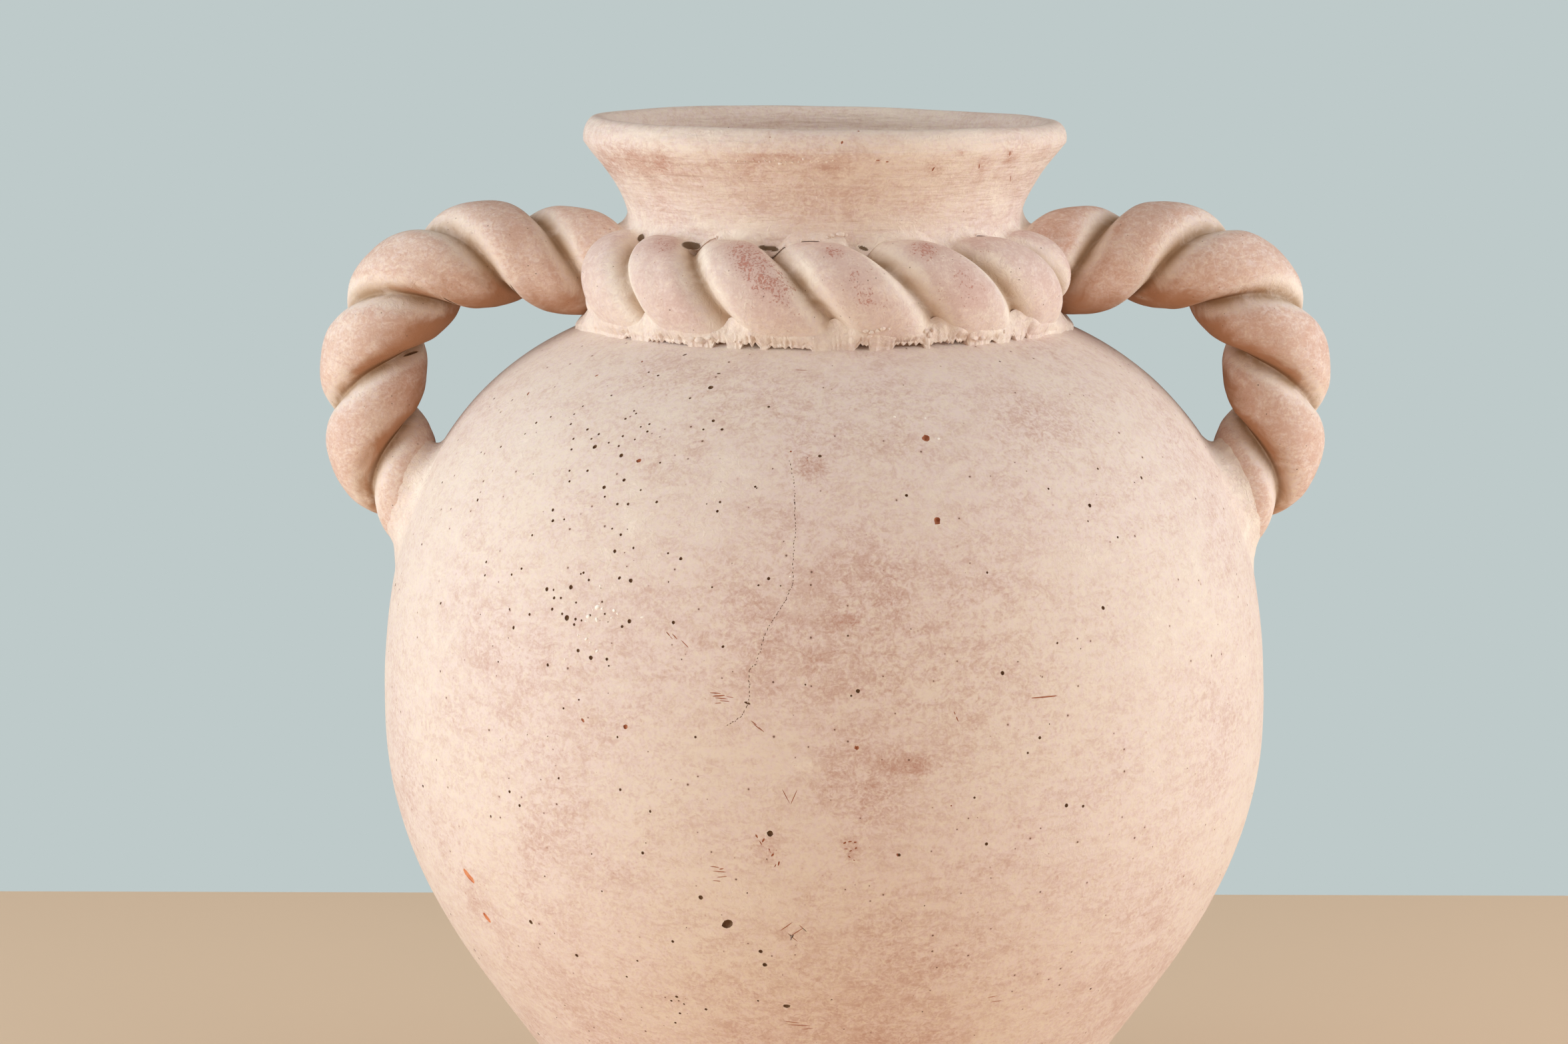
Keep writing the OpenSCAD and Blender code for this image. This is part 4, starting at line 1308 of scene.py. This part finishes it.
def handle_seam(side, end, rope, wall, finish):
    """The slip round one end of a handle; end is "upper" at the neck or "lower" on the body."""
    cuts = 110
    line = handle_line(side, 8 * MM, 18 * MM)
    if end == "upper":
        line = line[:46][::-1]
        up_rope, over_wall = 6 * MM, 6 * MM
    else:
        line = line[-66:]
        up_rope, over_wall = 10 * MM, 11 * MM
    front = Vector((0, -1, 0))
    spots = []
    for step in range(cuts):
        angle = 2 * pi * step / cuts
        places = []
        for k in range(1, len(line) - 1):
            across = (line[k + 1] - line[k - 1]).normalized().cross(front)
            places.append(rope_place(rope, line[k], across * cos(angle) + front * sin(angle)))
        met = crossing(places, wall)
        if met is None:
            continue
        across = (line[-1] - line[-3]).normalized().cross(front)
        toward = across * cos(angle) + front * sin(angle)
        shift = side * 3.1 + len(line)
        lump = 1 + 0.3 * noise.noise(Vector((cos(angle) * 1.6, sin(angle) * 1.6, shift)))
        spot = SeamSpot(places, met, wall, min(line, key=lambda p: (p - met[1]).length))
        spot.spread(toward, up_rope * lump, over_wall * lump)
        spots.append(spot)
    word = "left" if side < 0 else "right"
    return slip_seam(f"handle_{word}_{end}_slip", spots, finish, True, 0.22, 0.7 * MM)


def collar_skin(rope, angle, turns):
    """The collar rope's surface at this angle round the urn, once for each turn round its section."""
    middle = around(angle, COLLAR_R, COLLAR_Z)
    out = around(angle, 1, 0)
    return [rope_place(rope, middle, out * cos(turn) + Vector((0, 0, sin(turn)))) for turn in turns]


def openness(gaps, x, ragged):
    """How open a seam is at this pixel x, with ragged edges to its gaps."""
    best = 0
    for first, last, share in gaps:
        inside = min(x - first, last - x) + ragged
        best = max(best, share * min(max(inside / 3, 0), 1))
    return best


def collar_gap(word, gaps, place, angle, crumb, raggedness):
    """How open a seam of the collar is here: as photographed in front, and by chance behind."""
    if word == "front":
        return openness(gaps, pixels_of([place])[0][0], raggedness * crumb)
    return min(max(3 * noise.noise(Vector((angle * 0.12, 5, 1))) - 0.3 + 0.25 * crumb, 0), 1)


def hollow_depths(level, near=30):
    """How far each number in a row falls short of the highest ones near it."""
    padded = np.pad(level, 2 * near, mode="edge")
    brim = np.array([padded[k:k + 2 * near + 1].max() for k in range(len(padded) - 2 * near)])
    brim = np.convolve(brim, np.ones(2 * near + 1) / (2 * near + 1), mode="valid")
    return np.maximum(brim - level, 0)


def rope_foot(line, shoulder, up_rope):
    """Where a rope's lower skin meets the shoulder, and a place this far above, as radius and height."""
    over = line[:, 1] - np.interp(line[:, 0], shoulder[:, 0], shoulder[:, 1])
    k = max(int(np.argmax(over < 0)), 1)
    share = over[k - 1] / max(over[k - 1] - over[k], 1e-6)
    foot = line[k - 1] + (line[k] - line[k - 1]) * share
    back = foot
    left = up_rope
    for place in line[k - 1::-1]:
        run = hypot(*(place - back))
        back = back + (place - back) * min(left / max(run, 1e-6), 1)
        left -= run
        if left <= 0:
            break
    return foot, back


def collar_skirt(word, rope, finish):
    """The slip that fills the hollows under the collar's lobes and ends in a crumbly edge on the shoulder.

    The edge stands off the shoulder where the photograph shows gaps.
    """
    start, end = (-92, 92) if word == "front" else (88, 272)
    angles = np.linspace(start, end, 701)
    shoulder = np.array(body_outer_line()[::-1][:60])
    turns = [radians(-20 - 2.5 * k) for k in range(60)]
    lines = []
    for angle in angles:
        skin = collar_skin(rope, angle, turns)
        lines.append(np.array([(hypot(place.x, place.y), place.z) for place in skin]))
    feet = np.array([rope_foot(line, shoulder, 0)[0] for line in lines])
    hollows = evened(hollow_depths(feet[:, 0])[:, None], 12)[:, 0]
    backs = [rope_foot(line, shoulder, 4.4 * MM + 1.4 * hollow)[1] for line, hollow in zip(lines, hollows)]
    feet = evened(feet, 7)
    backs = evened(np.array(backs), 10)

    rows = []
    for angle, foot, back, hollow in zip(angles, feet, backs, hollows):
        crumb = noise.noise(Vector((angle * 0.9, 3, 7))) + 0.7 * noise.noise(Vector((angle * 2.1, 1, 2)))
        by_handle = max(1 - abs(abs((angle + 180) % 360 - 180) - 90) / 22, 0)
        wave = noise.noise(Vector((angle * 0.16, 9, 4)))
        reach = SKIRT_R + (wave + 0.45 * crumb + 3.5 * by_handle) * MM
        height = np.interp(reach, shoulder[:, 0], shoulder[:, 1])
        gap = collar_gap(word, LOWER_GAPS, around(angle, reach, height), angle, crumb, 2.5)
        uneven = noise.noise(Vector((angle * 1.3, 4, 4)))
        lift = (2.1 + 2.4 * uneven + 0.4 * crumb) * MM * gap
        lift = max(lift, 0.8 * MM * gap)
        pull = back + (foot - back) * 0.4 + np.array((1.3 * MM + 0.2 * hollow, 0))
        profile = bezier(
            (back[0] - 0.9 * MM, back[1]), (pull[0], pull[1]),
            (reach + 0.7 * MM, height + lift + 2.4 * MM), (reach - 0.1 * MM, height + lift + 1.2 * MM), 10,
        )
        row = []
        for radius, level in [(back[0] - 0.9 * MM, back[1])] + profile:
            place = around(angle, radius, level)
            lump = 0.4 * noise.noise(place / (7 * MM)) + 0.16 * noise.noise(place / (2.4 * MM))
            row.append(around(angle, radius + lump * MM, level))
        under = lift - 0.1 * MM if gap > 0.1 else -1.1 * MM
        row.append(around(angle, reach, height + lift + 0.4 * MM))
        row.append(around(angle, reach - 0.4 * MM, height + under))
        row.append(around(angle, foot[0] - 2 * MM, LEDGE_Z - 0.4 * MM + max(under, -0.5 * MM)))
        row.append(around(angle, foot[0] - 2.5 * MM, back[1] * 0.6 + LEDGE_Z * 0.4))
        rows.append(row)
    return band(f"collar_{word}_lower_slip", rows, finish)


def collar_seam(word, rope, wall, finish):
    """The slip along the collar's upper edge, thin or open where the photograph shows gaps."""
    start, end = (-82, 82) if word == "front" else (98, 262)
    count = 620
    turns = [radians(40 + 2.5 * k) for k in range(56)]
    spots = []
    angles = []
    for step in range(count + 1):
        angle = start + (end - start) * step / count
        places = collar_skin(rope, angle, turns)
        met = crossing(places, wall)
        if met:
            spots.append(SeamSpot(places, met, wall, around(angle, COLLAR_R, COLLAR_Z)))
            angles.append(angle)

    hollows = hollow_depths(np.array([spot.joint.z for spot in spots]))
    for spot, angle, hollow in zip(spots, angles, hollows):
        crumb = noise.noise(Vector((angle * 1.1, 3, 7))) + 0.6 * noise.noise(Vector((angle * 2.9, 1, 2)))
        gap = collar_gap(word, UPPER_GAPS, spot.joint, angle, crumb, 2.2)
        lump = 1 + 0.3 * noise.noise(Vector((angle * 0.22, 9, 4)))
        lump += 0.12 * noise.noise(Vector((angle * 0.7, 2, 8)))
        up_rope = (2.6 * lump + 0.4 * crumb) * MM * (1 - 0.7 * gap) + 0.8 * hollow * (1 - 0.95 * gap)
        over_wall = 3.5 * MM * lump * (1 - 0.4 * gap) + 0.5 * hollow * (1 - gap)
        spot.rope_lift = 1.4 * MM * gap
        spot.spread(Vector((0, 0, 1)), up_rope, over_wall)
    return slip_seam(f"collar_{word}_upper_slip", spots, finish, False, 0.3, 0.5 * MM)


def make_dabs(tree, name, marks, wall, finish, depth_share, raggedness, scatter=None):
    """The dabs at these marks, and more scattered over a skin if asked."""
    sizes = {
        "Most a square metre": 0.0,
        "Smallest": 0.4 * MM,
        "Largest": 1.2 * MM,
        "Depth share": depth_share,
        "Raggedness": raggedness,
        "Seed": 5,
        "Finish": finish,
    }
    return grown(tree, chosen_points(name, marks, wall), name, sizes | (scatter or {}))


def make_stage():
    """A pale table top that ends behind the urn, with a pale backdrop beyond it."""
    back_y = 0.4535
    half = 1.3
    corners = [(-half, -half, 0), (half, -half, 0), (half, back_y, 0), (-half, back_y, 0)]
    top = mesh_of("table_top", corners, [(0, 1, 2, 3)])
    pale, tree, shader, place = new_finish("pale_table")
    plug(tree, shader, {"Base Color": FLOOR_COLOUR, "Roughness": 0.7})
    top.materials.append(pale)
    link("table_top", top)

    world = bpy.data.worlds.new("studio")
    world.use_nodes = True
    bpy.context.scene.world = world
    tree = world.node_tree
    light = tree.nodes["Background"]
    plug(tree, light, {"Color": srgb(255, 240, 226), "Strength": 0.19})
    seen = add(tree, "ShaderNodeBackground", {"Color": BACKDROP_COLOUR, "Strength": 1.0})
    ray = add(tree, "ShaderNodeLightPath")
    mix = add(tree, "ShaderNodeMixShader", {0: ray.outputs["Is Camera Ray"], 1: light, 2: seen})
    plug(tree, tree.nodes["World Output"], {"Surface": mix})


URN_MIDDLE = Vector((0, 0, 0.22))


def soft_lamp(name, place, width, height, watts, colour):
    """A large soft box that faces the urn's middle."""
    lamp = bpy.data.lights.new(name, "AREA")
    lamp.shape = "RECTANGLE"
    lamp.size = width
    lamp.size_y = height
    lamp.energy = watts
    lamp.color = colour[:3]
    box = link(name, lamp)
    box.location = place
    box.rotation_euler = (URN_MIDDLE - box.location).to_track_quat("-Z", "Y").to_euler()


def make_lamps():
    soft_lamp("left_window", (-1.25, -0.40, 0.55), 1.0, 1.2, 16.0, srgb(238, 249, 255))
    soft_lamp("right_window", (1.25, -0.25, 0.60), 1.0, 1.2, 15.3, srgb(249, 252, 254))
    soft_lamp("warm_fill", (-0.15, -1.8, 1.15), 0.9, 0.9, 4.0, srgb(255, 240, 226))
    soft_lamp("high_light", (-0.3, 0.1, 1.7), 1.2, 1.2, 3, srgb(255, 252, 248))
    soft_lamp("low_warm_fill", (-0.4, -1.25, 0.3), 0.9, 0.3, 1.5, srgb(255, 196, 152))


bpy.context.scene.view_settings.view_transform = "Standard"
make_camera()
make_stage()
make_lamps()

body_finish = thrown_finish(
    "body_slip_finish", rosiness=0.0, thickness=0.0, speck_share=0.1, closeness=55.0, relief=0.35
)
neck_finish = thrown_finish(
    "neck_slip_finish", rosiness=0.005, thickness=0.04, speck_share=0.05, closeness=110.0, relief=2.0
)
handle_finish = rope_finish("handle_slip_finish", HANDLE_WASH, thickness=0.0, shade_browning=1.0)
collar_finish = rope_finish("collar_slip_finish", MAUVE_WASH, thickness=0.06, shade_browning=0.85)
inner_finish = clay_finish("inner_clay", TAN, srgb(203, 164, 138), 30.0, relief=0.6)
pit_finish = clay_finish("pinhole_clay", PIT_BROWN, srgb(130, 102, 76), 500.0)
chip_finish = clay_finish("chip_clay", RED_CLAY, srgb(158, 94, 66), 400.0)
smear_finish = clay_finish("orange_smear", srgb(220, 146, 102), srgb(206, 126, 84), 260.0)
lump_finish = clay_finish("chalk_lump", srgb(255, 250, 242), srgb(250, 241, 230), 300.0)
slip_finish = seam_finish("smeared_slip")

body = make_body(body_finish, inner_finish)
neck = make_neck(neck_finish, inner_finish)
ropes = make_ropes(strand_tree(), handle_finish, collar_finish)
handles = [rope for name, rope in ropes.items() if name.startswith("handle")]
collar = [rope for name, rope in ropes.items() if name.startswith("collar")]
thrown_wall = Wall(body, neck)

# Each seam of slip, with the CAD node that it takes the place of, if any
seams = []
for side, word in SIDES:
    rope = Wall(*(ropes[f"handle_{word}_strand_{strand}"] for strand, half in STRANDS))
    seams.append((handle_seam(side, "upper", rope, thrown_wall, slip_finish), []))
    seams.append((handle_seam(side, "lower", rope, thrown_wall, slip_finish), [f"handle_{word}_root"]))
for word in ("front", "back"):
    rope = Wall(*(ropes[f"collar_{word}_strand_{strand}"] for strand, half in STRANDS))
    seams.append((collar_skirt(word, Wall(*collar), slip_finish), []))
    seams.append((collar_seam(word, rope, thrown_wall, slip_finish), []))

body_wall = Wall(body)
neck_wall = Wall(neck)
whole_wall = Wall(body, neck, *ropes.values(), *(seam for seam, nodes in seams))
points = points_of(body.data)
outer_skin = (normals_of(body.data)[:, :2] * points[:, :2]).sum(axis=1) > OUTER_SKIN_FROM
off_pitted = (points[:, 0] - PITTED_X) ** 2 + (points[:, 2] - PITTED_Z) ** 2
pitted = np.exp(-off_pitted / (2 * PITTED_REACH ** 2)) * (points[:, 1] < 0)
store(body.data, "pitting", np.clip(0.25 + pitted, 0, 1) * outer_skin)

dabs = dab_tree()
holes = [(x, y, PINHOLE_GROWTH * across, *turn) for x, y, across, *turn in PINHOLES]
scatter = {"Skin": body, "Most a square metre": 1500.0, "Spacing": 5 * MM}
pinholes = make_dabs(
    dabs, "pinholes", holes + dashes(HAIRLINE_CRACK, 1.3), body_wall, pit_finish, 1.0, 0.3, scatter
)
chips = make_dabs(dabs, "chips", CLAY_CHIPS + SCRATCHES, body_wall, chip_finish, 0.6, 0.6)
smears = make_dabs(dabs, "orange_smears", ORANGE_SMEARS, body_wall, smear_finish, 0.3, 0.5)
drops = make_dabs(dabs, "slip_drops", SLIP_DROPS, whole_wall, slip_finish, 0.9, 0.5)
lumps = make_dabs(dabs, "chalk_lumps", CHALK_LUMPS, body_wall, lump_finish, 0.5, 0.4)
crumbs = make_dabs(dabs, "neck_crumbs", NECK_CRUMBS, neck_wall, slip_finish, 0.8, 0.6)
for cutter in (pinholes, chips, smears):
    cut_out(cutter, body)
cut_out(make_dabs(dabs, "lip_spots", LIP_SPOTS, neck_wall, chip_finish, 0.5, 0.3), neck)
cut_out(make_dabs(dabs, "crevices", CREVICES, whole_wall, pit_finish, 1.6, 0.3), *handles)

for piece, part, patches in (
    (body, "rose", BODY_ROSE), (body, "chalk", BODY_CHALK), (body, "worn", BODY_WORN),
    (neck, "rose", NECK_ROSE), (neck, "chalk", NECK_CHALK), (neck, "worn", NECK_WORN),
):
    paint(piece, part, patches)
for rope in collar:
    paint(rope, "worn", COLLAR_WORN)
# Painted shade in the pockets under the collar's upper edge, on the neck, the ropes and the collar's seams
for piece in (neck, *ropes.values(), *(seam for seam, nodes in seams if seam.name.startswith("collar"))):
    paint(piece, "painted_pocket_shade", UPPER_POCKET_SHADES)

finish_piece(body, "body_slip", "body_shell")
finish_piece(neck, "neck_slip", "neck_and_rim")
for name, rope in ropes.items():
    finish_piece(rope, "collar_slip" if rope in collar else "handle_slip", name)
for seam, nodes in seams:
    finish_piece(seam, "handle_slip" if seam.name.startswith("handle") else "collar_slip", *nodes)
finish_piece(drops, "collar_slip")
finish_piece(crumbs, "neck_slip")
finish_piece(lumps, "body_slip")
